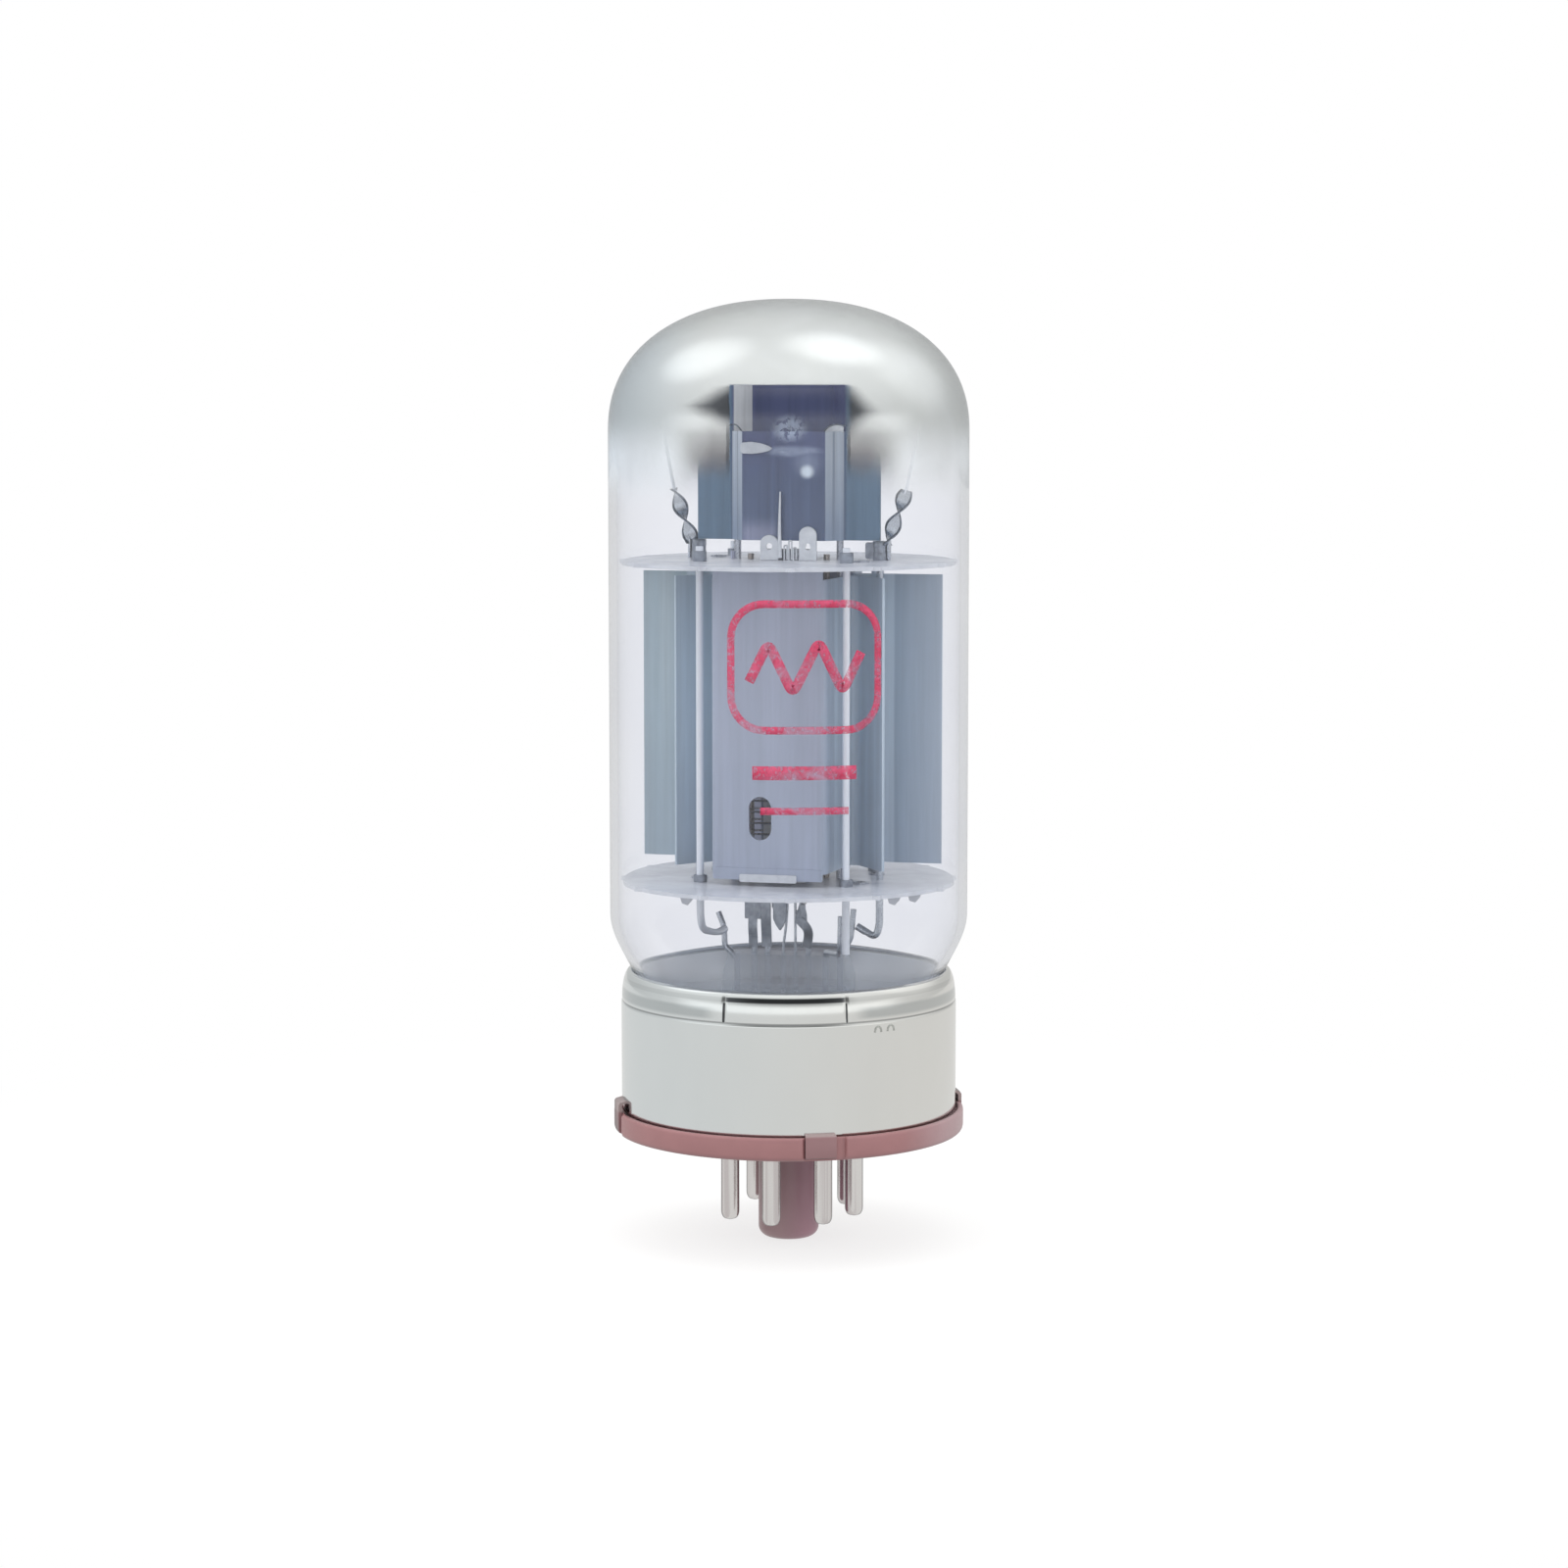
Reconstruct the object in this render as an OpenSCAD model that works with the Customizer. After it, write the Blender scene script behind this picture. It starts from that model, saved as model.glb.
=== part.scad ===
/* [Bulb] */
// Outside diameter of the straight glass bulb
bulb_d = 46; // [45.5:0.1:46.5]
// Thickness of the bulb glass
bulb_wall = 1.1; // [0.9:0.1:1.2]
// Height of the dome top above the seat of the base
seated_h = 106.7; // [106:0.1:108]
// Height of the domed end, from the end of the straight wall to the top
dome_h = 16.8; // [16:0.1:17.5]
// Fullness of the dome, where 2 is a true ellipse
dome_power = 2.25; // [2:0.05:2.4]

/* [Base] */
// Outside diameter of the plated metal base shell
shell_d = 43.2; // [42.8:0.1:43.6]
// Height of the shell's top rim above the seat
shell_top = 21; // [20.8:0.1:21.2]
// Thickness of the shell's sheet metal
shell_t = 0.3; // [0.25:0.05:0.4]
// Outside diameter of the moulded wafer that closes the base
wafer_d = 45.2; // [44.8:0.1:46]
// Thickness of the wafer at its rim
wafer_t = 3; // [2.9:0.1:3.2]
// Diameter of the locating key post
key_d = 7.82; // [7.7:0.02:7.92]
// Length of the locating key post below the seat
key_len = 14.2; // [13.6:0.1:14.4]
// Diameter of each contact pin
pin_d = 2.36; // [2.3:0.01:2.41]
// Length of each contact pin below the seat
pin_len = 11.1; // [10.8:0.1:11.3]
// Diameter of the circle of contact pins
pin_circle_d = 17.45; // [17.4:0.05:17.5]

/* [Cage] */
// Height of the lower mica's top face
mica_low_z = 32.9; // [32.7:0.1:33.1]
// Height of the upper mica's underside
mica_high_z = 73.2; // [73:0.1:73.4]
// Thickness of each mica
mica_t = 0.5; // [0.4:0.05:0.5]
// Radius of each mica disc inside its spurs
mica_r = 21.3; // [21:0.1:21.4]
// Height of the anode's lower edge
anode_low = 35.1; // [34.8:0.1:35.4]
// Height of the anode's upper edge
anode_high = 72; // [71.6:0.1:72.2]
// Thickness of the anode sheet
anode_t = 0.35; // [0.3:0.05:0.35]
// Number of turns on each grid
grid_turns = 24; // [18:1:28]
// Height of the top edge of the cooling radiator
radiator_top = 96; // [95:0.5:96.5]
// How much lower the front half of the radiator stops
radiator_drop = 6; // [4:0.5:8]

/* [Hidden] */
$fn = 64;
bulb_r = bulb_d / 2;
bulb_in = bulb_r - bulb_wall;
dome_z = seated_h - dome_h;
shell_r = shell_d / 2;
shell_in = shell_r - shell_t;
wafer_r = wafer_d / 2;
wafer_floor = wafer_t - 0.5;
pin_r = pin_d / 2;
key_r = key_d / 2;
pin_ring = pin_circle_d / 2;
mica_low_under = mica_low_z - mica_t;
mica_high_over = mica_high_z + mica_t;
rod_r = 0.48;
anode_rod_u = 12;
support_u = 9.5;
support_v = 8;
g1_u = 5;
g1_r = 0.4;
g2_u = 6.75;
g2_r = 0.45;
lead_r = 0.38;
heater_pitch = 0.84;
cath_u = 3.2;
cath_v = 0.8;
// Contact positions in use: one place of the eight is empty
pin_angles = [0, 45, 90, 135, 180, 225, 315];
// Stem leads from one edge of the press to the other
lead_u = [-6.9, -4.6, -2.8, -0.7, 0.9, 2.6, 4.9, 6.8];
lug_angles = [25, 115, 205, 295];
// Front of the object is towards -Y; v below is measured towards the front
function place(r, a) = [r * sin(a), -r * cos(a)];
function fwd(u, v) = [u, -v];
function unit(v) = v / norm(v);
function left(d) = [-d[1], d[0]];
function mitre(p, i) =
    let (n = len(p),
         a = i > 0 ? left(unit(p[i] - p[i - 1])) : left(unit(p[1] - p[0])),
         b = i < n - 1 ? left(unit(p[i + 1] - p[i])) : a,
         m = unit(a + b))
    m / (m * a);
// Rounds each bend of an open path with n short steps
function bends(p, r, n = 5) = concat([p[0]],
    [for (i = [1:len(p) - 2])
        let (t = min(r, norm(p[i - 1] - p[i]) * 0.45, norm(p[i + 1] - p[i]) * 0.45),
             a = p[i] + unit(p[i - 1] - p[i]) * t,
             b = p[i] + unit(p[i + 1] - p[i]) * t)
        for (k = [0:n]) let (u = k / n) a * (1 - u) * (1 - u) + p[i] * 2 * u * (1 - u) + b * u * u],
    [p[len(p) - 1]]);
// Outline of a bent sheet of thickness t whose middle line is p
function sheet(p, t) = concat(
    [for (i = [0:len(p) - 1]) p[i] + mitre(p, i) * t / 2],
    [for (i = [len(p) - 1:-1:0]) p[i] - mitre(p, i) * t / 2]);
function dome(r, h, n, z0) = [for (i = [0:n]) let (a = 90 * i / n)
    [r * pow(cos(a), 2 / dome_power), z0 + h * pow(sin(a), 2 / dome_power)]];
// Radius of the bulb's lower end, drawing in to the part cemented into the shell
function neck(r, z) = z >= 28.3 ? r : z <= 16 ? r - 4 :
    r - 4 * (1 + cos(180 * pow((z - 16) / 12.3, 1.1))) / 2;

module rod(p, r, z0, z1) translate([p[0], p[1], z0]) cylinder(r = r, h = z1 - z0, $fn = 32);
module link(a, b, r) {
    d = b - a;
    l = norm(d);
    translate(a) rotate([0, acos(d[2] / l), atan2(d[1], d[0])]) cylinder(r = r, h = l, $fn = 32);
}
// A wire through the points p, with a slightly larger rounded knuckle at each bend
module wire(p, r) {
    for (i = [0:len(p) - 2]) link(p[i], p[i + 1], r);
    if (len(p) > 2) for (i = [1:len(p) - 2]) translate(p[i]) rotate([37, 21, 11]) sphere(r = r * 1.22, $fn = 32);
}
module stadium(hu, hv) {
    square([2 * (hu - hv), 2 * hv], center = true);
    for (s = [-1, 1]) translate([s * (hu - hv), 0]) circle(r = hv, $fn = 32);
}
module ribbon_side(p, w, t, x) translate([x - w / 2, 0, 0]) rotate([90, 0, 90])
    linear_extrude(w) polygon(sheet(p, t));

module glass_bulb() color([0.9, 0.93, 0.96, 0.25]) rotate_extrude($fn = 96) polygon(concat(
    [for (i = [0:14]) let (z = 7.5 + i * (28.3 - 7.5) / 14) [neck(bulb_r, z), z]],
    dome(bulb_r, dome_h, 20, dome_z),
    [for (i = [20:-1:0]) dome(bulb_in, dome_h - bulb_wall, 20, dome_z)[i]],
    [for (i = [14:-1:0]) let (z = 7.5 + i * (28.3 - 7.5) / 14) [neck(bulb_in, z), z]]));

module getter_flash() color([0.8, 0.82, 0.81]) rotate_extrude($fn = 96) polygon(concat(
    [[bulb_in - 0.02, 79]], dome(bulb_in - 0.02, dome_h - bulb_wall - 0.02, 20, dome_z),
    [for (i = [20:-1:0]) dome(bulb_in - 0.12, dome_h - bulb_wall - 0.12, 20, dome_z)[i]],
    [[bulb_in - 0.12, 79]]));

module base_shell() color([0.8, 0.81, 0.79]) {
    rotate_extrude($fn = 96) polygon(concat(
        [[shell_in, wafer_floor], [shell_r, wafer_floor], [shell_r, 17.6]],
        [for (i = [1:8]) let (a = 90 * i / 8) [shell_r - 0.95 * (1 - cos(a)), 17.6 + (shell_top - 17.6) * sin(a)]],
        [for (i = [8:-1:1]) let (a = 90 * i / 8) [shell_in - 0.95 * (1 - cos(a)), 17.6 + (shell_top - 17.6) * sin(a)]],
        [[shell_in, 17.6]]));
    // Four lugs step out over the wafer's rim, lie in its notches and fold under it
    for (a = lug_angles) rotate([0, 0, a - 90 - 5]) rotate_extrude(angle = 10, $fn = 96)
        polygon([[shell_r - 0.15, 4.7], [shell_r + 0.4, 4.4], [wafer_r - 0.15, 3.9], [wafer_r - 0.15, 0.3], [shell_in - 0.9, 0.3],
            [shell_in - 0.9, 0.6], [wafer_r - 0.45, 0.6], [wafer_r - 0.45, 3.7], [shell_r - 0.15, 4.3]]);
}

module base_wafer() color([0.62, 0.36, 0.35]) difference() {
    union() {
        difference() {
            cylinder(r = wafer_r, h = wafer_t, $fn = 96);
            translate([0, 0, wafer_floor]) cylinder(r = shell_r + 0.1, h = 1, $fn = 96);
        }
        rotate_extrude() {
            translate([0, -key_len + 1.8]) square([key_r, key_len - 1.3]);
            translate([0, -key_len]) square([key_r - 1.8, 3]);
            translate([key_r - 1.8, -key_len + 1.8]) circle(r = 1.8);
        }
        // Locating rib
        rotate([0, 0, 22.5 - 90]) translate([0, -1.1, -key_len + 2]) cube([key_r + 1.05, 2.2, key_len - 1.7]);
    }
    translate([0, 0, -11.6]) cylinder(r = 2.8, h = 20);
    for (a = pin_angles) translate([place(pin_ring, a)[0], place(pin_ring, a)[1], -1]) cylinder(r = pin_r + 0.27, h = 8, $fn = 32);
    // Notches for the shell's lugs, each a little wider than its lug on one side
    for (a = lug_angles) rotate([0, 0, a - 90 - 5.4]) {
        rotate_extrude(angle = 13.4, $fn = 96) translate([wafer_r - 0.48, -1]) square([3, 6]);
        rotate_extrude(angle = 13.4, $fn = 96) translate([shell_in - 1, -1]) square([3, 1.63]);
    }
}

module contact_pins() color([0.75, 0.75, 0.74]) for (a = pin_angles)
    translate([place(pin_ring, a)[0], place(pin_ring, a)[1], 0]) rotate_extrude($fn = 32) polygon(concat(
        [[0.8, 3.4], [0.8, -pin_len + 0.2]],
        [for (i = [0:6]) let (b = 90 * i / 6) [0.8 + (pin_r - 0.8) * sin(b), -pin_len + 0.8 - 0.65 * cos(b)]],
        [[pin_r, 0], [pin_r + 0.27, 0], [pin_r + 0.27, wafer_floor + 0.02], [1.9, wafer_floor + 0.02], [1.9, wafer_floor + 0.35], [pin_r + 0.27, wafer_floor + 0.5], [pin_r + 0.27, 3.4]]));

module pin_solder() color([0.7, 0.71, 0.72]) for (a = pin_angles)
    translate([place(pin_ring, a)[0], place(pin_ring, a)[1], 0]) rotate_extrude($fn = 32)
        polygon([[0, -pin_len], [0.3, -pin_len + 0.02], [0.6, -pin_len + 0.09], [0.79, -pin_len + 0.2], [0.79, -9], [0, -9]]);

module base_cement() color([0.75, 0.68, 0.55]) rotate_extrude($fn = 96)
    polygon([[bulb_r - 3.97, 9], [shell_in - 0.02, 9], [shell_in - 0.02, 16.8], [bulb_r - 3.7, 16.8], [bulb_r - 3.92, 15.5]]);

module stem_glass() color([0.85, 0.9, 0.93, 0.4]) difference() {
    union() {
        rotate_extrude() polygon([[bulb_in - 4.02, 7.5], [bulb_in - 4.02, 8.8], [14, 9.4], [11, 10.6], [9.2, 12.4], [8.6, 14.6],
            [8.6, 16.4], [7.5, 16.4], [7.5, 14.4], [8.2, 12], [10.2, 9.8], [13.5, 8.4], [16.5, 7.5]]);
        intersection() {
            translate([0, 12, 0]) rotate([90, 0, 0]) linear_extrude(24)
                polygon([[-9, 16.2], [9, 16.2], [8.7, 19], [7.6, 23], [-7.6, 23], [-8.7, 19]]);
            rotate([90, 0, 90]) translate([0, 0, -12]) linear_extrude(24)
                polygon([[-9, 16.2], [9, 16.2], [5.2, 18.2], [2.4, 20.4], [1.7, 23], [-1.7, 23], [-2.4, 20.4], [-5.2, 18.2]]);
            cylinder(r = 8.6, h = 30);
        }
    }
    // Hollow below the pinched part
    intersection() {
        translate([0, 12, 0]) rotate([90, 0, 0]) linear_extrude(24)
            polygon([[-7.5, 15], [7.5, 15], [7, 18.4], [-7, 18.4]]);
        rotate([90, 0, 90]) translate([0, 0, -12]) linear_extrude(24)
            polygon([[-7.5, 15], [7.5, 15], [7.2, 16.4], [3.4, 18.4], [-3.4, 18.4], [-7.2, 16.4]]);
        cylinder(r = 7.5, h = 30);
    }
    for (u = lead_u) translate([u, 0, 10]) cylinder(r = lead_r, h = 20, $fn = 32);
}

module exhaust_tube() color([0.85, 0.9, 0.93, 0.4]) {
    rotate_extrude() polygon([[0, 15.2], [0.8, 15.6], [1.5, 15.4], [2.3, 15.2],
        [2.4, 14.6], [2.4, -8], [2.1, -9.4], [1.2, -10.6], [0, -11.1], [0, -9.9], [0.8, -9.4], [1.4, -8.6], [1.7, -7.6], [1.7, 13.6], [1, 14.2], [0, 14.3]]);
    // Web of glass that joins the tube to the underside of the press, between two leads
    translate([-0.28, -1.5, 14.7]) cube([0.76, 3, 3.7]);
}

module dumet_seals() color([0.72, 0.45, 0.35]) for (u = lead_u)
    rod([u, 0], lead_r, u > 6.5 || u < -6.5 ? 17.4 : 18.2, 22.7);

module inner_leads() color([0.8, 0.82, 0.84]) {
    // Lead with a leaning cut end, met by the hooked support rod
    wire([[-6.9, 0, 22.7], [-6.9, 0, 23.5], [-8.2, 0, 24.4], [-8.4, 0, 26.2], [-9.3, 0.2, 27.6]], lead_r);
    wire([[-4.6, 0, 22.7], [-4.6, 0, 25.4]], lead_r);
    wire([[-2.8, 0, 22.7], [-2.8, 0, 25.4]], lead_r);
    wire([[-0.7, 0, 22.7], [-0.72, 0.01, 23.6], [-0.15, 0.02, 28]], 0.2);
    wire([[0.9, 0, 22.7], [0.9, 0, 28]], 0.2);
    wire([[2.6, 0, 22.7], [2.6, 0, 24.8]], lead_r);
    wire([[4.9, 0, 22.7], [4.9, 0, 23.7], [8.6, -7.4, 26.2], [8.72, -7.6, 28.8]], lead_r);
    wire([[6.8, 0, 22.7], [6.8, 0, 23.5], [8.2, 0, 24.6], [8.6, 0, 28.9]], lead_r);
}

module outer_leads() color([0.7, 0.42, 0.3]) {
    // Lead from each press seal down the hollow stem into its pin
    for (q = [
        [[-4.6, 0, 18.2], [-4.6, 0, 16.5], [-5.4, 4, 13], [-5.2, 5.2, 9], 225],
        [[-2.8, 0, 18.2], [-2.8, 0, 17.2], [-2.7, 4.3, 14.2], [-0.6, 7.2, 10.5], 180],
        [[-0.7, 0, 18.2], [-0.7, 0, 17.7], [-1.4, -4.3, 16.1], [-5, -5.1, 11], 315],
        [[0.9, 0, 18.2], [0.9, 0, 17.7], [1.9, 4.3, 16], [7.2, 1.3, 10.2], 90],
        [[2.6, 0, 18.2], [2.6, 0, 17.2], [2.4, -4.6, 14], [0.5, -7.3, 10.5], 0],
        [[6.8, 0, 17.4], [6.8, 0, 16.6], [5.4, 4.4, 13], [5.4, 5.4, 9], 135]]) {
        p = place(pin_ring, q[4]);
        wire([q[0], q[1], q[2], q[3], [p[0], p[1], 5.5], [p[0], p[1], -8.95]], 0.3);
    }
}

module shell_ground_strap() color([0.75, 0.75, 0.74]) {
    // Wire from the first pin to the inside of the shell
    p = place(pin_ring, 45);
    q = place(pin_ring + 2.5, 45);
    s = place(shell_in - 0.36, 45);
    wire([[p[0], p[1], -8.95], [p[0], p[1], 5], [q[0], q[1], 6], [s[0], s[1], 6.2], [s[0], s[1], 8.6]], 0.3);
}

module mica_outline() difference() {
    union() {
        circle(r = mica_r, $fn = 96);
        for (i = [0:11]) rotate(15 + 30 * i) polygon([[mica_r - 0.3, -0.9], [bulb_in - 0.06, -0.15], [bulb_in - 0.06, 0.15], [mica_r - 0.3, 0.9]]);
    }
    // Flats at the two ends and relief slots between the electrodes
    for (s = [-1, 1]) {
        translate([s * anode_rod_u, 0]) circle(r = rod_r + 0.03, $fn = 32);
        translate([s * g2_u, 0]) circle(r = g2_r + 0.02, $fn = 32);
        translate([s * g1_u, 0]) circle(r = g1_r + 0.02, $fn = 32);
        translate([s * 7.44, 0]) square([0.22, 1.5], center = true);
        for (t = [-1, 1]) {
            translate([s * support_u, t * support_v]) circle(r = rod_r + 0.03, $fn = 32);
            translate([s * 10.6, t * 4.6]) circle(r = 0.7, $fn = 32);
        }
        translate([0, s * 5.2]) square([7.2, 0.9], center = true);
    }
    stadium(cath_u + 0.03, cath_v + 0.03);
}
module lower_mica() color([0.78, 0.79, 0.81, 0.7]) translate([0, 0, mica_low_under]) linear_extrude(mica_t) mica_outline();
module upper_mica() color([0.78, 0.79, 0.81, 0.7]) translate([0, 0, mica_high_z]) linear_extrude(mica_t) mica_outline();

module anode_front() color([0.53, 0.57, 0.63]) difference() {
    translate([0, 0, anode_low - 0.5]) linear_extrude(anode_high - anode_low + 0.2)
        polygon(sheet(bends([[-13.6, -5.2], [-9.3, 0.3], [-8, 0.3], [-7.75, -2], [-7.2, -10.2], [7.2, -10.2], [7.75, -2], [8, 0.3], [9.3, 0.3], [13.6, -5.2]], 0.8, 4), anode_t));
    // Oblong sighting hole
    translate([-1, -9, 0]) rotate([90, 0, 0]) linear_extrude(3) {
        translate([-1.45, 40.2]) square([2.9, 2.6]);
        translate([0, 40.2]) circle(r = 1.45, $fn = 32);
        translate([0, 42.8]) circle(r = 1.45, $fn = 32);
    }
}

module anode_rear() color([0.5, 0.54, 0.6]) difference() {
    translate([0, 0, anode_low]) linear_extrude(anode_high - anode_low)
        polygon(sheet(bends([[-19.8, 0.68], [-8, 0.68], [-7.2, 10.2], [7.2, 10.2], [8, 0.68], [19.8, 0.68]], 0.8, 4), anode_t));
    translate([1, 12, 0]) rotate([90, 0, 0]) linear_extrude(3) {
        translate([-1.45, 40.2]) square([2.9, 2.6]);
        translate([0, 40.2]) circle(r = 1.45, $fn = 32);
        translate([0, 42.8]) circle(r = 1.45, $fn = 32);
    }
}

module anode_rods() color([0.82, 0.84, 0.86]) {
    rod([-anode_rod_u, 0], rod_r, 31.4, 76.1);
    // The right rod's lower end is bent across to its stem lead
    wire([[anode_rod_u, 0, 76.1], [anode_rod_u, 0, 26.6], [anode_rod_u - 0.4, 0, 25.6], [9.12, 0.2, 26.5]], rod_r);
}

module support_rods() color([0.84, 0.86, 0.88]) {
    for (s = [-1, 1]) rod([s * support_u, support_v], rod_r, 31, 75.6);
    rod([support_u, -support_v], rod_r, 24.4, 75.6);
    wire([[-support_u, -support_v, 75.6], [-support_u, -support_v, 27.4], [-support_u + 0.2, -support_v + 1, 26.5], [-8.5, -0.9, 25.8]], rod_r);
}

module rod_ferrules() color([0.55, 0.57, 0.6]) {
    for (s = [-1, 1]) {
        for (z = [mica_high_over, mica_low_under - 1]) translate([s * anode_rod_u, 0, z]) difference() {
            cylinder(r = 0.95, h = z > 50 ? 2.3 : 1, $fn = 32);
            translate([0, 0, -1]) cylinder(r = rod_r + 0.01, h = 5, $fn = 32);
        }
        for (t = [-1, 1], z = [mica_high_over, mica_low_z]) translate([s * support_u, t * support_v, z]) difference() {
            cylinder(r = 0.85, h = 0.9, $fn = 32);
            translate([0, 0, -1]) cylinder(r = rod_r + 0.01, h = 5, $fn = 32);
        }
    }
}

module mica_eyelets() color([0.85, 0.86, 0.87]) for (s = [-1, 1], t = [-1, 1], z = [mica_low_under, mica_high_z])
    translate([s * 10.6, t * 4.6, z]) difference() {
        union() {
            cylinder(r = 0.69, h = mica_t, $fn = 32);
            translate([0, 0, mica_t + 0.01]) cylinder(r = 1.05, h = 0.2, $fn = 32);
            translate([0, 0, mica_t - 0.1]) cylinder(r = 0.69, h = 0.2, $fn = 32);
            translate([0, 0, -0.21]) cylinder(r = 1.05, h = 0.2, $fn = 32);
            translate([0, 0, -0.1]) cylinder(r = 0.69, h = 0.2, $fn = 32);
        }
        translate([0, 0, -1]) cylinder(r = 0.5, h = 3, $fn = 32);
    }

module cathode_sleeve() color([0.8, 0.8, 0.78]) translate([0, 0, 31.6]) linear_extrude(43.4) difference() {
    stadium(cath_u, cath_v);
    stadium(cath_u - 0.12, cath_v - 0.12);
}
module cathode_coating() color([0.92, 0.92, 0.9]) translate([0, 0, 37]) linear_extrude(33) difference() {
    stadium(cath_u + 0.14, cath_v + 0.14);
    stadium(cath_u + 0.005, cath_v + 0.005);
}
module heater() color([0.93, 0.92, 0.9]) {
    for (i = [0:5]) rod([(i - 2.5) * heater_pitch, 0], 0.26, i == 0 || i == 5 ? 29.4 : 34, 72);
    for (i = [0, 2, 4]) translate([(i - 2) * heater_pitch, 0, 72]) rotate([90, 0, 0])
        rotate_extrude(angle = 180) translate([heater_pitch / 2, 0]) circle(r = 0.26, $fn = 32);
    for (i = [1, 3]) translate([(i - 2) * heater_pitch, 0, 34]) rotate([90, 180, 0])
        rotate_extrude(angle = 180) translate([heater_pitch / 2, 0]) circle(r = 0.26, $fn = 32);
}
module heater_tabs() color([0.78, 0.8, 0.82]) {
    wire([[-2.1, 0, 29.38], [-2.05, 0, 28.9], [-0.6, 0, 28.35], [-0.1, 0, 28.22]], 0.18);
    wire([[2.1, 0, 29.38], [2.05, 0, 28.9], [1.3, 0, 28.4], [0.9, 0, 28.22]], 0.18);
}

module control_grid_rods() color([0.8, 0.6, 0.45]) for (s = [-1, 1]) rod([s * g1_u, 0], g1_r, 30.6, 74.4);
module screen_grid_rods() color([0.78, 0.8, 0.82]) for (s = [-1, 1]) rod([s * g2_u, 0], g2_r, 31, 94);
module turns(hu, hv) for (i = [0:grid_turns - 1]) translate([0, 0, 37 + i * 33 / (grid_turns - 1)]) linear_extrude(0.12) difference() {
    stadium(hu + 0.1, hv + 0.1);
    stadium(hu, hv);
}
module control_grid_wire() color([0.7, 0.7, 0.66]) turns(g1_u + g1_r + 0.01, 1.5);
module screen_grid_wire() color([0.66, 0.66, 0.66]) turns(g2_u + g2_r + 0.01, 2.6);

module beam_plates() color([0.6, 0.62, 0.66]) for (s = [0, 1]) mirror([s, 0, 0]) {
    translate([0, 0, 36.4]) linear_extrude(34.4) polygon(sheet(bends([[4.6, -3.3], [7.44, -3.3], [7.44, 3.3], [4.6, 3.3]], 0.5, 3), 0.15));
    translate([7.365, -0.6, 31.7]) cube([0.15, 1.2, 43]);
}

module radiator_front() color([0.32, 0.37, 0.46]) translate([0, 0, 76.2]) linear_extrude(radiator_top - radiator_drop - 76.2)
    polygon(sheet(bends([[-12, -0.14], [-7.4, -0.14], [-5.4, -2.6], [5.4, -2.6], [7.4, -0.14], [12, -0.14]], 0.3, 3), 0.25));
module radiator_rear() color([0.32, 0.37, 0.46]) translate([0, 0, 76.2]) linear_extrude(radiator_top - 76.2)
    polygon(sheet(bends([[-12, 0.14], [-7.4, 0.14], [-5.4, 2.6], [5.4, 2.6], [7.4, 0.14], [12, 0.14]], 0.3, 3), 0.25));

module cathode_clips() color([0.8, 0.81, 0.82]) {
    for (u = [-1.8, 3.2]) translate([u, -2.85, 0]) rotate([90, 0, 0]) linear_extrude(0.3) difference() {
        union() {
            translate([-1.15, mica_high_over + 0.01]) square([2.3, 2]);
            translate([0, mica_high_over + 2.01]) circle(r = 1.15, $fn = 32);
        }
        translate([0, mica_high_over + 1.2]) circle(r = 0.4, $fn = 32);
    }
    // Upright tie wire beside the first clip, with its foot turned back to the sleeve
    wire([[-0.35, -3.1, mica_high_over + 0.4], [-0.35, -3.1, 82.4]], 0.22);
}

module getter_supports() color([0.6, 0.62, 0.65]) for (s = [-1, 1]) {
    // Flat strip with nearly two turns of twist, then a straight run up to its ring
    translate([s * 12.9, 0, 76.15]) rotate([0, s * 21, 0])
        linear_extrude(7, twist = 450, slices = 30, segments = 4, $fn = 8) square([1.4, 0.25], center = true);
    translate([s * 15.38, 0, 82.5]) rotate([0, s * 10.9, 0]) translate([-0.1, -0.625, 0]) cube([0.2, 1.25, 14.7]);
    // Welded foot against the rod's ferrule
    translate([s * 13.13 - 0.15, -0.55, mica_high_over + 0.02]) cube([0.3, 1.1, 2.6]);
}
module getter_rings() color([0.62, 0.63, 0.64]) for (s = [-1, 1]) translate([s * 14.4, 0, 97.7]) rotate([0, s * 8, 0]) rotate_extrude() difference() {
    translate([3.2, 0]) square([1.3, 0.9]);
    translate([3.4, 0.2]) square([0.9, 1]);
}
module getter_fill() color([0.3, 0.3, 0.31]) for (s = [-1, 1]) translate([s * 14.4, 0, 97.7]) rotate([0, s * 8, 0]) rotate_extrude()
    translate([3.41, 0.21]) square([0.88, 0.4]);

module control_grid_strap() color([0.6, 0.62, 0.65]) {
    translate([-5.7, -0.78, 27.3]) cube([2.3, 0.3, 4.6]);
    ribbon_side([[-0.63, 27.5], [-0.75, 26], [-0.55, 25], [-0.55, 23.6]], 1.2, 0.24, -4.6);
}
module screen_grid_strap() color([0.68, 0.7, 0.73]) {
    translate([-7.2, -1.12, 31.1]) cube([5.1, 0.3, 1]);
    ribbon_side([[-0.97, 31.4], [-0.97, 27.5], [-0.55, 25.2], [-0.55, 23.7]], 1.35, 0.24, -2.8);
}
module cathode_strap() color([0.62, 0.64, 0.67]) {
    translate([1.1, -1.15, 26.8]) cube([1.6, 0.25, 5.4]);
    ribbon_side([[-1.02, 27], [-0.98, 25.6], [-0.55, 24.8], [-0.55, 23.8]], 1.3, 0.22, 2.5);
}
module beam_plate_strap() color([0.6, 0.62, 0.65]) translate([0, -1.1, 0]) rotate([90, 0, 0]) linear_extrude(0.25)
    polygon([[-1.75, 32.2], [-1.75, 27.4], [-0.9, 26], [-0.35, 26.6], [0.05, 27.6], [0.05, 32.2]]);

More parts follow.
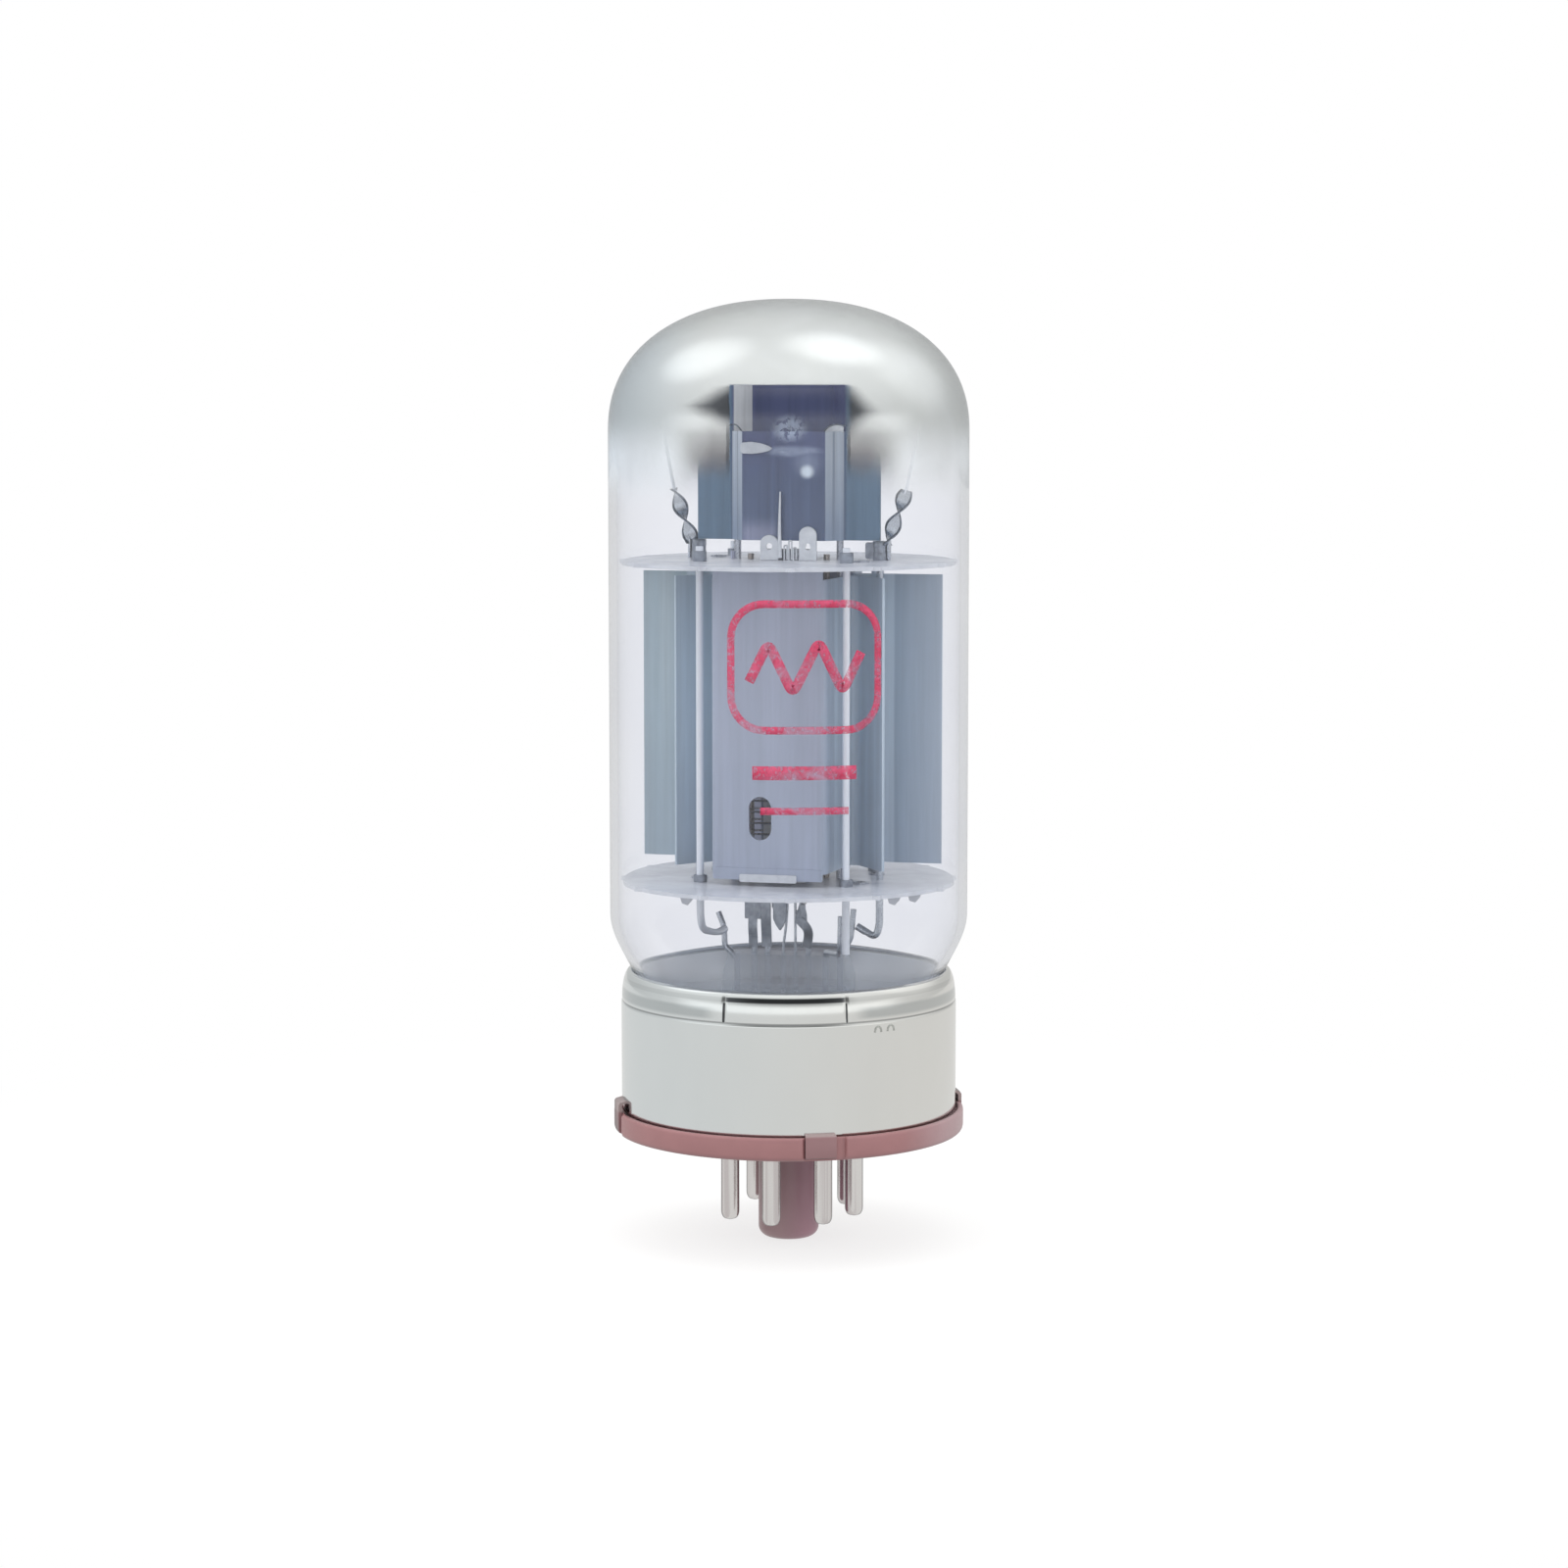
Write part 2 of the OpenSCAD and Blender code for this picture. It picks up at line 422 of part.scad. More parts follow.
glass_bulb();
getter_flash();
base_shell();
base_wafer();
contact_pins();
pin_solder();
base_cement();
stem_glass();
exhaust_tube();
dumet_seals();
inner_leads();
outer_leads();
shell_ground_strap();
lower_mica();
upper_mica();
anode_front();
anode_rear();
anode_rods();
support_rods();
rod_ferrules();
mica_eyelets();
cathode_sleeve();
cathode_coating();
heater();
heater_tabs();
control_grid_rods();
control_grid_wire();
screen_grid_rods();
screen_grid_wire();
beam_plates();
radiator_front();
radiator_rear();
cathode_clips();
getter_supports();
getter_rings();
getter_fill();
control_grid_strap();
screen_grid_strap();
cathode_strap();
beam_plate_strap();
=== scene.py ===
import math
import bpy
from mathutils import Vector, Matrix


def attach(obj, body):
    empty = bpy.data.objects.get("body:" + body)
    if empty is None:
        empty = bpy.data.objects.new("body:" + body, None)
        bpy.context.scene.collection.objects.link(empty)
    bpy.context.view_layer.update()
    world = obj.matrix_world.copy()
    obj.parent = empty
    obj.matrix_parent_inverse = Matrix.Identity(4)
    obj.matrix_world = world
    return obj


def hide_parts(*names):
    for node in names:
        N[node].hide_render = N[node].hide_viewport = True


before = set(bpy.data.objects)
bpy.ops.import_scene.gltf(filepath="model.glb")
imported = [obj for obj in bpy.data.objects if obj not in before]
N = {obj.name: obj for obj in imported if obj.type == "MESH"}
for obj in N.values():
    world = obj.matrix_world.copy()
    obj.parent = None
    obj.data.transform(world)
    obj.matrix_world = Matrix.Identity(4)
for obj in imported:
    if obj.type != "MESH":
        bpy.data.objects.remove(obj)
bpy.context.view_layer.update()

MM = 0.001
AZ = math.radians(14.7)      # the viewing side, from -Y towards +X


# ---------------------------------------------------------------- geometry helpers (all sizes in mm)
def make(name, verts, faces, mat, node=None, slot=None, sharp=35, replaces=()):
    me = bpy.data.meshes.new(name)
    me.from_pydata([(x * MM, y * MM, z * MM) for x, y, z in verts], [], faces)
    me.validate()
    me.update()
    for p in me.polygons:
        p.use_smooth = True
    if sharp:
        me.set_sharp_from_angle(angle=math.radians(sharp))
    ob = bpy.data.objects.new(name, me)
    bpy.context.scene.collection.objects.link(ob)
    ob.data.materials.append(mat)
    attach(ob, "root")
    if replaces:
        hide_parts(*replaces)
    return ob


class Soup:
    """Collects several closed surfaces into one piece."""
    def __init__(self):
        self.v, self.f = [], []

    def add(self, v, f):
        o = len(self.v)
        self.v += v
        self.f += [tuple(i + o for i in q) for q in f]
        return self


def lathe(prof, n=144, closed=True, centre=(0, 0), a0=0.0, a1=360.0, push=None):
    """Revolves the profile [(r, z)]; push(r, z, degrees) may return a changed (r, z)."""
    full = abs(a1 - a0 - 360) < 1e-6
    cols = n if full else n + 1
    v, rows = [], []
    for r, z in prof:
        if r < 1e-6:
            rows.append([len(v)])
            v.append((centre[0], centre[1], z))
            continue
        row = []
        for k in range(cols):
            deg = a0 + (a1 - a0) * k / n
            rr, zz = push(r, z, deg) if push else (r, z)
            a = math.radians(deg)
            row.append(len(v))
            v.append((centre[0] + rr * math.cos(a), centre[1] + rr * math.sin(a), zz))
        rows.append(row)
    f = []
    pairs = list(zip(rows, rows[1:])) + ([(rows[-1], rows[0])] if closed else [])
    for A, B in pairs:
        if len(A) == 1 and len(B) == 1:
            continue
        for k in range(n):
            k2 = (k + 1) % cols
            if len(A) == 1:
                f.append((A[0], B[k2], B[k]))
            elif len(B) == 1:
                f.append((A[k], A[k2], B[0]))
            else:
                f.append((A[k], A[k2], B[k2], B[k]))
    if not full:
        f.append(tuple(r[0] for r in rows))
        f.append(tuple(r[-1] for r in reversed(rows)))
    return v, f


def rounded(pts, rad, n=6):
    """Rounds each inside corner of an open path with a short smooth curve."""
    P = [Vector(p) for p in pts]
    out = [P[0]]
    for i in range(1, len(P) - 1):
        a, b, c = P[i - 1], P[i], P[i + 1]
        t = min(rad, (a - b).length * 0.48, (c - b).length * 0.48)
        s, e = b + (a - b).normalized() * t, b + (c - b).normalized() * t
        for k in range(n + 1):
            u = k / n
            out.append(s * (1 - u) ** 2 + b * 2 * u * (1 - u) + e * u * u)
    out.append(P[-1])
    return out


def sweep(path, section, twist=0.0, up=(0, 1, 0), taper=None):
    """Sweeps a closed section along a path with a steady frame; twist in degrees over the whole path."""
    P = [Vector(p) for p in path]
    m = len(section)
    T = []
    for i in range(len(P)):
        a, b = P[max(0, i - 1)], P[min(len(P) - 1, i + 1)]
        T.append((b - a).normalized())
    x = Vector(up)
    x = (x - T[0] * x.dot(T[0]))
    if x.length < 1e-4:
        x = Vector((1, 0, 0)) - T[0] * T[0].x
    x.normalize()
    L = [0.0]
    for i in range(1, len(P)):
        L.append(L[-1] + (P[i] - P[i - 1]).length)
    v, f = [], []
    for i, p in enumerate(P):
        if i:
            ax = T[i - 1].cross(T[i])
            if ax.length > 1e-7:
                x = Matrix.Rotation(T[i - 1].angle(T[i]), 3, ax.normalized()) @ x
        y = T[i].cross(x)
        a = math.radians(twist) * L[i] / L[-1]
        k = taper(L[i] / L[-1]) if taper else 1.0
        for sx, sy in section:
            q = p + x * k * (sx * math.cos(a) - sy * math.sin(a)) + y * k * (sx * math.sin(a) + sy * math.cos(a))
            v.append(tuple(q))
    for i in range(len(P) - 1):
        for k in range(m):
            k2 = (k + 1) % m
            f.append((i * m + k, i * m + k2, (i + 1) * m + k2, (i + 1) * m + k))
    f.append(tuple(range(m - 1, -1, -1)))
    f.append(tuple((len(P) - 1) * m + k for k in range(m)))
    return v, f


def disc(r, n=14):
    return [(r * math.cos(2 * math.pi * k / n), r * math.sin(2 * math.pi * k / n)) for k in range(n)]


def bar(w, t, b=None):
    """Rectangle section w by t with eased corners."""
    b = b if b is not None else min(w, t) * 0.28
    x, y = w / 2, t / 2
    return [(x - b, -y), (x, -y + b), (x, y - b), (x - b, y), (-x + b, y), (-x, y - b), (-x, -y + b), (-x + b, -y)]


def wire(path, r, rad=0.9, n=14):
    """Round wire with rounded bends and flat ends."""
    P = rounded(path, rad)
    a, b = P[0], P[-1]
    ta, tb = (P[1] - a).normalized(), (P[-2] - b).normalized()
    e = r * 0.35
    return sweep([a] + [a + ta * e] + P[1:-1] + [b + tb * e] + [b], disc(r, n),
                 taper=None)


# ---------------------------------------------------------------- materials
def nodes_of(name):
    m = bpy.data.materials.new(name)
    m.use_nodes = True
    nt = m.node_tree
    nt.nodes.clear()
    return m, nt


def nd(nt, kind, **kw):
    n = nt.nodes.new(kind)
    for k, val in kw.items():
        if k in n.inputs:
            n.inputs[k].default_value = val
        else:
            setattr(n, k, val)
    return n


def coords(nt, scale=(1, 1, 1)):
    tc = nd(nt, "ShaderNodeTexCoord")
    mp = nd(nt, "ShaderNodeMapping")
    mp.inputs["Scale"].default_value = [s * 1000 for s in scale]
    nt.links.new(tc.outputs["Object"], mp.inputs["Vector"])
    return mp.outputs["Vector"]


def noise(nt, vec, scale, detail=4, rough=0.55, distort=0.0):
    n = nd(nt, "ShaderNodeTexNoise", Scale=scale, Detail=detail, Roughness=rough, Distortion=distort)
    nt.links.new(vec, n.inputs["Vector"])
    return n.outputs["Fac"]


def ramp(nt, fac, stops):
    r = nd(nt, "ShaderNodeValToRGB")
    r.color_ramp.elements[0].position, r.color_ramp.elements[0].color = stops[0][0], (*stops[0][1], 1)
    r.color_ramp.elements[1].position, r.color_ramp.elements[1].color = stops[-1][0], (*stops[-1][1], 1)
    for p, c in stops[1:-1]:
        e = r.color_ramp.elements.new(p)
        e.color = (*c, 1)
    nt.links.new(fac, r.inputs["Fac"])
    return r.outputs["Color"]


def mrange(nt, val, a, b, c, d, smooth=False):
    r = nd(nt, "ShaderNodeMapRange")
    if smooth:
        r.interpolation_type = "SMOOTHSTEP"
    for k, x in zip(("From Min", "From Max", "To Min", "To Max"), (a, b, c, d)):
        if isinstance(x, (int, float)):
            r.inputs[k].default_value = x
        else:
            nt.links.new(x, r.inputs[k])
    nt.links.new(val, r.inputs["Value"])
    return r.outputs["Result"]


def math_(nt, op, a, b=None, clamp=False):
    n = nd(nt, "ShaderNodeMath", operation=op, use_clamp=clamp)
    for i, x in enumerate((a, b)):
        if x is None:
            continue
        if isinstance(x, (int, float)):
            n.inputs[i].default_value = x
        else:
            nt.links.new(x, n.inputs[i])
    return n.outputs[0]


def lin(r, g, b):
    f = lambda c: (c / 255 / 12.92) if c / 255 <= 0.04045 else ((c / 255 + 0.055) / 1.055) ** 2.4
    return (f(r), f(g), f(b))


def surface(name, c1, c2, rough=(0.3, 0.45), metallic=1.0, scale=1.2, stretch=(1, 1, 1), bump=0.0, fine=9.0,
            coat=0.0, spec=0.5, mid=None, sss=0.0, alpha=None, glow=0.0):
    m, nt = nodes_of(name)
    vec = coords(nt, stretch)
    big = noise(nt, vec, scale, 5, 0.6, 0.4)
    small = noise(nt, vec, scale * fine, 3, 0.5)
    stops = [(0.3, c1), (0.7, c2)] if mid is None else [(0.28, c1), (0.5, mid), (0.72, c2)]
    b = nd(nt, "ShaderNodeBsdfPrincipled", Metallic=metallic)
    b.inputs["Specular IOR Level"].default_value = spec
    nt.links.new(ramp(nt, big, stops), b.inputs["Base Color"])
    nt.links.new(mrange(nt, small, 0.3, 0.7, rough[0], rough[1]), b.inputs["Roughness"])
    if coat:
        b.inputs["Coat Weight"].default_value = coat
        b.inputs["Coat Roughness"].default_value = 0.12
    if sss:
        b.inputs["Subsurface Weight"].default_value = sss
        b.inputs["Subsurface Radius"].default_value = (0.002, 0.002, 0.002)
    if alpha is not None:
        nt.links.new(mrange(nt, big, 0.3, 0.7, alpha[0], alpha[1]), b.inputs["Alpha"])
    if glow:
        b.inputs["Emission Color"].default_value = (*c1, 1)
        b.inputs["Emission Strength"].default_value = glow
    if bump:
        bp = nd(nt, "ShaderNodeBump", Strength=bump, Distance=0.00005)
        nt.links.new(small, bp.inputs["Height"])
        nt.links.new(bp.outputs["Normal"], b.inputs["Normal"])
    o = nd(nt, "ShaderNodeOutputMaterial")
    nt.links.new(b.outputs[0], o.inputs["Surface"])
    return m


def glass(name, tint1, tint2, rough=0.0, ior=1.47):
    """Clear glass that lets plain light through to what is inside it."""
    m, nt = nodes_of(name)
    vec = coords(nt)
    col = ramp(nt, noise(nt, vec, 0.08, 2, 0.5), [(0.3, tint1), (0.7, tint2)])
    # greyer where the glass is seen edge on: painted shade along the silhouettes
    lw = nd(nt, "ShaderNodeLayerWeight", Blend=0.5)
    col = mixc(nt, mrange(nt, lw.outputs["Facing"], 0.88, 1.0, 0.0, 0.25, True), col, lin(180, 186, 198))
    g = nd(nt, "ShaderNodeBsdfGlass", IOR=ior, Roughness=rough)
    t = nd(nt, "ShaderNodeBsdfTransparent")
    nt.links.new(col, g.inputs["Color"])
    nt.links.new(col, t.inputs["Color"])
    bp = nd(nt, "ShaderNodeBump", Strength=0.05, Distance=0.00004)
    nt.links.new(noise(nt, vec, 0.11, 3, 0.5), bp.inputs["Height"])
    nt.links.new(bp.outputs["Normal"], g.inputs["Normal"])
    lp = nd(nt, "ShaderNodeLightPath")
    fac = math_(nt, "MAXIMUM", lp.outputs["Is Shadow Ray"], lp.outputs["Is Diffuse Ray"])
    mx = nd(nt, "ShaderNodeMixShader")
    nt.links.new(fac, mx.inputs[0])
    nt.links.new(g.outputs[0], mx.inputs[1])
    nt.links.new(t.outputs[0], mx.inputs[2])
    o = nd(nt, "ShaderNodeOutputMaterial")
    nt.links.new(mx.outputs[0], o.inputs["Surface"])
    return m


def position(nt):
    """x, y, z of the shaded point in mm, then s (right across the view) and d (towards the viewer)."""
    tc = nd(nt, "ShaderNodeTexCoord")
    sp = nd(nt, "ShaderNodeSeparateXYZ")
    nt.links.new(tc.outputs["Object"], sp.inputs[0])
    x, y, z = (math_(nt, "MULTIPLY", sp.outputs[k], 1000.0) for k in range(3))
    s_ = math_(nt, "ADD", math_(nt, "MULTIPLY", x, math.cos(AZ)), math_(nt, "MULTIPLY", y, math.sin(AZ)))
    d_ = math_(nt, "SUBTRACT", math_(nt, "MULTIPLY", x, math.sin(AZ)), math_(nt, "MULTIPLY", y, math.cos(AZ)))
    return x, y, z, s_, d_


def mixc(nt, fac, a, b):
    m = nd(nt, "ShaderNodeMix", data_type="RGBA")
    if isinstance(fac, (int, float)):
        m.inputs[0].default_value = fac
    else:
        nt.links.new(fac, m.inputs[0])
    for k, c in ((6, a), (7, b)):
        if isinstance(c, tuple):
            m.inputs[k].default_value = (*c, 1)
        else:
            nt.links.new(c, m.inputs[k])
    return m.outputs[2]


def band(nt, val, a, b, soft):
    """1 between a and b, falling to 0 over soft on both sides."""
    return math_(nt, "MULTIPLY", mrange(nt, val, a - soft / 2, a + soft / 2, 0.0, 1.0, True), mrange(nt, val, b - soft / 2, b + soft / 2, 1.0, 0.0, True))


def painted(name, colour, rough, metallic, bump=0.1, grain=(2.0, (1, 1, 1)), spec=0.5, wear=0.06, streak=0.0, glow=0.0):
    """Principled surface whose colour comes from colour(nt, position); noise adds wear, roughness variation and relief."""
    m, nt = nodes_of(name)
    pos = position(nt)
    vec = coords(nt, grain[1])
    n1, n2 = noise(nt, vec, grain[0] * 0.25, 5, 0.6, 0.4), noise(nt, vec, grain[0] * 4, 3, 0.5)
    col = colour(nt, pos)
    hsv = nd(nt, "ShaderNodeHueSaturation")
    val = mrange(nt, n1, 0.3, 0.7, 1 - wear, 1 + wear)
    if streak:
        n3 = noise(nt, coords(nt, (1, 1, 0.03)), 0.9, 4, 0.65, 0.2)
        val = math_(nt, "MULTIPLY", val, mrange(nt, n3, 0.3, 0.7, 1 - streak, 1 + streak))
    nt.links.new(val, hsv.inputs["Value"])
    nt.links.new(col, hsv.inputs["Color"])
    b = nd(nt, "ShaderNodeBsdfPrincipled", Metallic=metallic)
    b.inputs["Specular IOR Level"].default_value = spec
    nt.links.new(hsv.outputs["Color"], b.inputs["Base Color"])
    if glow:
        nt.links.new(hsv.outputs["Color"], b.inputs["Emission Color"])
        b.inputs["Emission Strength"].default_value = glow
    nt.links.new(mrange(nt, n2, 0.3, 0.7, rough[0], rough[1]), b.inputs["Roughness"])
    bp = nd(nt, "ShaderNodeBump", Strength=bump, Distance=0.00004)
    nt.links.new(n2, bp.inputs["Height"])
    nt.links.new(bp.outputs["Normal"], b.inputs["Normal"])
    o = nd(nt, "ShaderNodeOutputMaterial")
    nt.links.new(b.outputs[0], o.inputs["Surface"])
    return m


def faint_glass(name, tint, line, amount, body=0.03):
    """Thin lead glass: nearly invisible face on, with pale lines where it is seen edge on, a painted reflection."""
    m, nt = nodes_of(name)
    vec = coords(nt)
    t = nd(nt, "ShaderNodeBsdfTransparent")
    nt.links.new(ramp(nt, noise(nt, vec, 0.3, 3, 0.5), [(0.3, tint), (0.7, tuple(min(1, c * 1.03) for c in tint))]), t.inputs["Color"])
    p = nd(nt, "ShaderNodeBsdfPrincipled", Roughness=0.12)
    p.inputs["Base Color"].default_value = (*line, 1)
    lw = nd(nt, "ShaderNodeLayerWeight", Blend=0.5)
    f = mrange(nt, lw.outputs["Facing"], 0.72, 1.0, body, amount, True)
    mx = nd(nt, "ShaderNodeMixShader")
    nt.links.new(f, mx.inputs[0])
    nt.links.new(t.outputs[0], mx.inputs[1])
    nt.links.new(p.outputs[0], mx.inputs[2])
    o = nd(nt, "ShaderNodeOutputMaterial")
    nt.links.new(mx.outputs[0], o.inputs["Surface"])
    return m


M_BULB = glass("bulb_glass", (0.948, 0.953, 0.972), (0.962, 0.966, 0.98))
M_STEM = faint_glass("stem_glass", (0.93, 0.945, 0.955), lin(212, 216, 222), 0.6, 0.2)
M_SHELL = None
M_PIN = None
M_SOLDER = surface("solder", lin(172, 176, 178), lin(200, 202, 202), (0.3, 0.45), 1.0, 1.6, (1, 1, 1), 0.15, 6)
M_NICKEL = surface("nickel", lin(168, 172, 182), lin(196, 200, 208), (0.2, 0.34), 1.0, 1.1, (1, 1, 0.25), 0.08, 12)
M_TAB = surface("pale_nickel", lin(206, 210, 216), lin(226, 229, 233), (0.3, 0.42), 0.6, 1.1, (1, 1, 1), 0.1, 12)
M_DULL = surface("dull_nickel", lin(136, 142, 153), lin(176, 182, 192), (0.28, 0.45), 1.0, 1.0, (1, 1, 1), 0.12, 9)
M_ROD = surface("bright_rod", lin(224, 229, 238), lin(238, 241, 247), (0.28, 0.31), 0.4, 0.3, (1, 1, 0.1), 0.0, 4)
M_WIRE = surface("lead_wire", lin(186, 192, 202), lin(216, 221, 228), (0.2, 0.34), 1.0, 1.4, (1, 1, 0.4), 0.08, 9)
# dark metal for thin rods laid along edges: painted shade outlining them
M_EDGE_SHADE = surface("edge_shade_metal", lin(104, 110, 122), lin(150, 157, 168), (0.16, 0.3), 1.0, 1.2, (1, 1, 1), 0.08, 9)
M_SPOT = surface("weld_spot", lin(134, 144, 166), lin(166, 175, 194), (0.35, 0.45), 0.4, 0.9, (1, 1, 1), 0.1, 6)
M_PINCH = surface("pinch_metal", lin(176, 178, 174), lin(196, 198, 194), (0.2, 0.3), 1.0, 1.0, (1, 1, 1), 0.0, 6)
M_SEAL = faint_glass("copper_clad_seal", (0.93, 0.93, 0.94), lin(196, 200, 208), 0.5)
M_COPPER = surface("copper_clad", lin(206, 204, 210), lin(222, 220, 224), (0.3, 0.45), 0.2, 1.0, (1, 1, 1), 0.1, 9)
M_MICA = surface("mica", lin(200, 203, 211), lin(216, 219, 225), (0.18, 0.24), 0.0, 0.16, (1, 1, 1), 0.03, 9, spec=0.5, alpha=(0.78, 0.92))
M_OXIDE = surface("oxide_coating", lin(226, 226, 220), lin(244, 244, 240), (0.75, 0.92), 0.0, 1.4, (1, 1, 1), 0.4, 8)
M_GSTEEL = surface("getter_steel", lin(138, 142, 148), lin(178, 182, 188), (0.3, 0.45), 1.0, 1.0, (1, 1, 1), 0.15, 9)
M_GFILL = surface("getter_powder", lin(58, 58, 60), lin(94, 94, 96), (0.75, 0.95), 0.0, 2.0, (1, 1, 1), 0.6, 8)
# the beam plates carry a faint emission: painted light that brightens them inside the anode
M_BEAM = surface("beam_plate", lin(150, 154, 174), lin(172, 176, 192), (0.4, 0.55), 0.2, 0.8, (1, 1, 0.3), 0.1, 9, glow=0.35)
M_GOLD = surface("gold_grid", lin(160, 152, 146), lin(184, 176, 170), (0.22, 0.36), 1.0, 1.0, (1, 1, 0.3), 0.05, 9)


def anode_colour(nt, pos):
    x, y, z, s, d = pos
    # tone across the width, darker near x 8.8 at the right slanted wing: painted shade
    across = ramp(nt, mrange(nt, x, -20, 20, 0, 1), [(0.0, lin(170, 188, 198)), (0.28, lin(166, 186, 196)), (0.32, lin(172, 180, 198)),
                                                  (0.66, lin(168, 176, 194)), (0.72, lin(150, 168, 184)), (1.0, lin(164, 180, 198))])
    # streak: a pale stripe at a fixed place across the view, stronger towards the top: painted highlight
    streak = math_(nt, "MULTIPLY", band(nt, s, -16.8, -15.0, 1.2), mrange(nt, z, 46, 60, 0.15, 0.4, True))
    low = mrange(nt, z, 36, 60, 0.25, 0.0, True)
    # inner: the slanted inner wings made lighter: painted light
    inner = math_(nt, "MULTIPLY", band(nt, math_(nt, "ABSOLUTE", x), 7.5, 13.75, 0.4), mrange(nt, y, 0.55, 0.65, 0.8, 0.0))
    across = mixc(nt, inner, across, lin(204, 218, 230))
    return mixc(nt, low, mixc(nt, streak, across, lin(196, 208, 214)), lin(140, 150, 168))


def radiator_colour(nt, pos):
    x, y, z, s, d = pos
    slate = ramp(nt, mrange(nt, z, 76, 96, 0, 1), [(0.0, lin(86, 99, 126)), (0.35, lin(80, 93, 122)), (0.62, lin(80, 89, 124)), (1.0, lin(74, 80, 116))])
    ax = math_(nt, "ABSOLUTE", x)
    # paler towards the bottom left
    low_left_pale = math_(nt, "MULTIPLY", band(nt, x, -5.4, -1.0, 1.5), mrange(nt, z, 79.5, 77.0, 0.0, 0.45, True))
    slate = mixc(nt, low_left_pale, slate, lin(170, 172, 196))
    # the side wings beyond |x| 7.5 are lighter than the front face: painted light
    wing = mixc(nt, mrange(nt, ax, 7.3, 7.7, 0.0, 1.0), slate, lin(96, 120, 142))
    # heat marks and spatter around the welds on the front face
    nf = noise(nt, coords(nt), 1.5, 4, 0.65, 0.4)
    ns = noise(nt, coords(nt, (0.35, 1, 1)), 0.8, 4, 0.6, 0.2)
    face = mrange(nt, y, -1.6, -1.2, 1.0, 0.0)
    rear = math_(nt, "SUBTRACT", 1.0, face)
    xb, zb = math_(nt, "ADD", x, math_(nt, "MULTIPLY", rear, 1.25)), math_(nt, "ADD", z, math_(nt, "MULTIPLY", rear, 0.52))
    both = math_(nt, "MAXIMUM", face, math_(nt, "MULTIPLY", mrange(nt, z, 89.5, 89.6, 0.0, 1.0), mrange(nt, y, 0.0, 0.3, 0.0, 1.0)))
    specks = math_(nt, "MULTIPLY", blob(nt, xb, zb, 0.7, 90.6, 3.0, 2.4, 0.7), mrange(nt, nf, 0.43, 0.51, 0.1, 1.0, True))
    smear = math_(nt, "MULTIPLY", blob(nt, x, z, 1.2, 87.5, 4.8, 0.95, 0.8), mrange(nt, ns, 0.35, 0.6, 0.5, 1.0, True))
    haze2 = math_(nt, "MULTIPLY", blob(nt, x, z, 3.2, 86.0, 2.6, 2.4, 0.9), 0.35)
    marks_ = math_(nt, "MULTIPLY", math_(nt, "MAXIMUM", math_(nt, "MAXIMUM", specks, smear), haze2), both)
    wing = mixc(nt, marks_, wing, lin(166, 178, 200))
    wing = mixc(nt, math_(nt, "MULTIPLY", face, blob(nt, x, z, 3.1, 84.95, 1.2, 1.1, 0.7)), wing, lin(206, 216, 226))
    # flanges, lighter towards the top; the dark line along the rib and the darker right flange are painted shade
    flange = math_(nt, "MULTIPLY", band(nt, ax, 5.45, 7.35, 0.12), mrange(nt, y, -0.25, -0.15, 1.0, 0.0))
    # a pale patch on the rear radiator's left flange: painted highlight
    pillar_highlight = math_(nt, "MULTIPLY", math_(nt, "MULTIPLY", band(nt, x, -7.3, -5.45, 0.12), mrange(nt, y, 0.05, 0.15, 0.0, 1.0)), 0.9)
    rib = band(nt, ax, 6.2, 6.42, 0.08)
    right_flange_shade = mrange(nt, x, 0.0, 1.0, 0.0, 0.35, True)
    c = mixc(nt, flange, wing, mixc(nt, right_flange_shade, mixc(nt, math_(nt, "MULTIPLY", rib, 0.6), mixc(nt, mrange(nt, z, 77, 89, 0.0, 1.0), lin(150, 164, 184), lin(196, 203, 211)), lin(120, 130, 146)), lin(110, 124, 142)))
    return mixc(nt, pillar_highlight, c, lin(208, 210, 210))


def shell_colour(nt, pos):
    x, y, z, s, d = pos
    # cooler on the left of the view and warmer on the right: painted reflection
    base = mixc(nt, mrange(nt, s, -21, 21, 0.0, 1.0, True), lin(226, 231, 233), lin(230, 229, 226))
    ang = math_(nt, "MULTIPLY", math_(nt, "ARCTAN2", s, d), 180 / math.pi)
    lines = None
    for a0, w in ((-22.2, 0.42), (19.7, 0.3)):
        k = band(nt, ang, a0 - w, a0 + w, 0.25)
        lines = k if lines is None else math_(nt, "MAXIMUM", lines, k)
    lines = math_(nt, "MULTIPLY", lines, band(nt, z, 17.1, 19.6, 0.3))
    # grey bands low on the shoulder to the left and right of the middle: painted reflection
    side_ = mrange(nt, math_(nt, "ABSOLUTE", math_(nt, "ADD", ang, 1.2)), 22.0, 30.0, 0.0, 1.0, True)
    shade = math_(nt, "MULTIPLY", band(nt, z, 17.55, 18.9, 0.5), math_(nt, "MULTIPLY", side_, 0.4))
    base = mixc(nt, shade, base, lin(120, 130, 134))
    # dark band high on the shoulder in the middle of the view: painted reflection
    dark_reflection_band = math_(nt, "MULTIPLY", band(nt, z, 19.72, 20.28, 0.16), mrange(nt, math_(nt, "ABSOLUTE", math_(nt, "ADD", ang, 1.2)), 19.5, 22.0, 0.9, 0.12, True))
    base = mixc(nt, dark_reflection_band, base, lin(52, 56, 62))
    # dark line in the step groove: painted shade; the dark seam lines are joined in with it
    ring = band(nt, z, 17.0, 17.22, 0.12)
    return mixc(nt, math_(nt, "MAXIMUM", lines, math_(nt, "MULTIPLY", ring, 0.55)), base, lin(70, 72, 74))


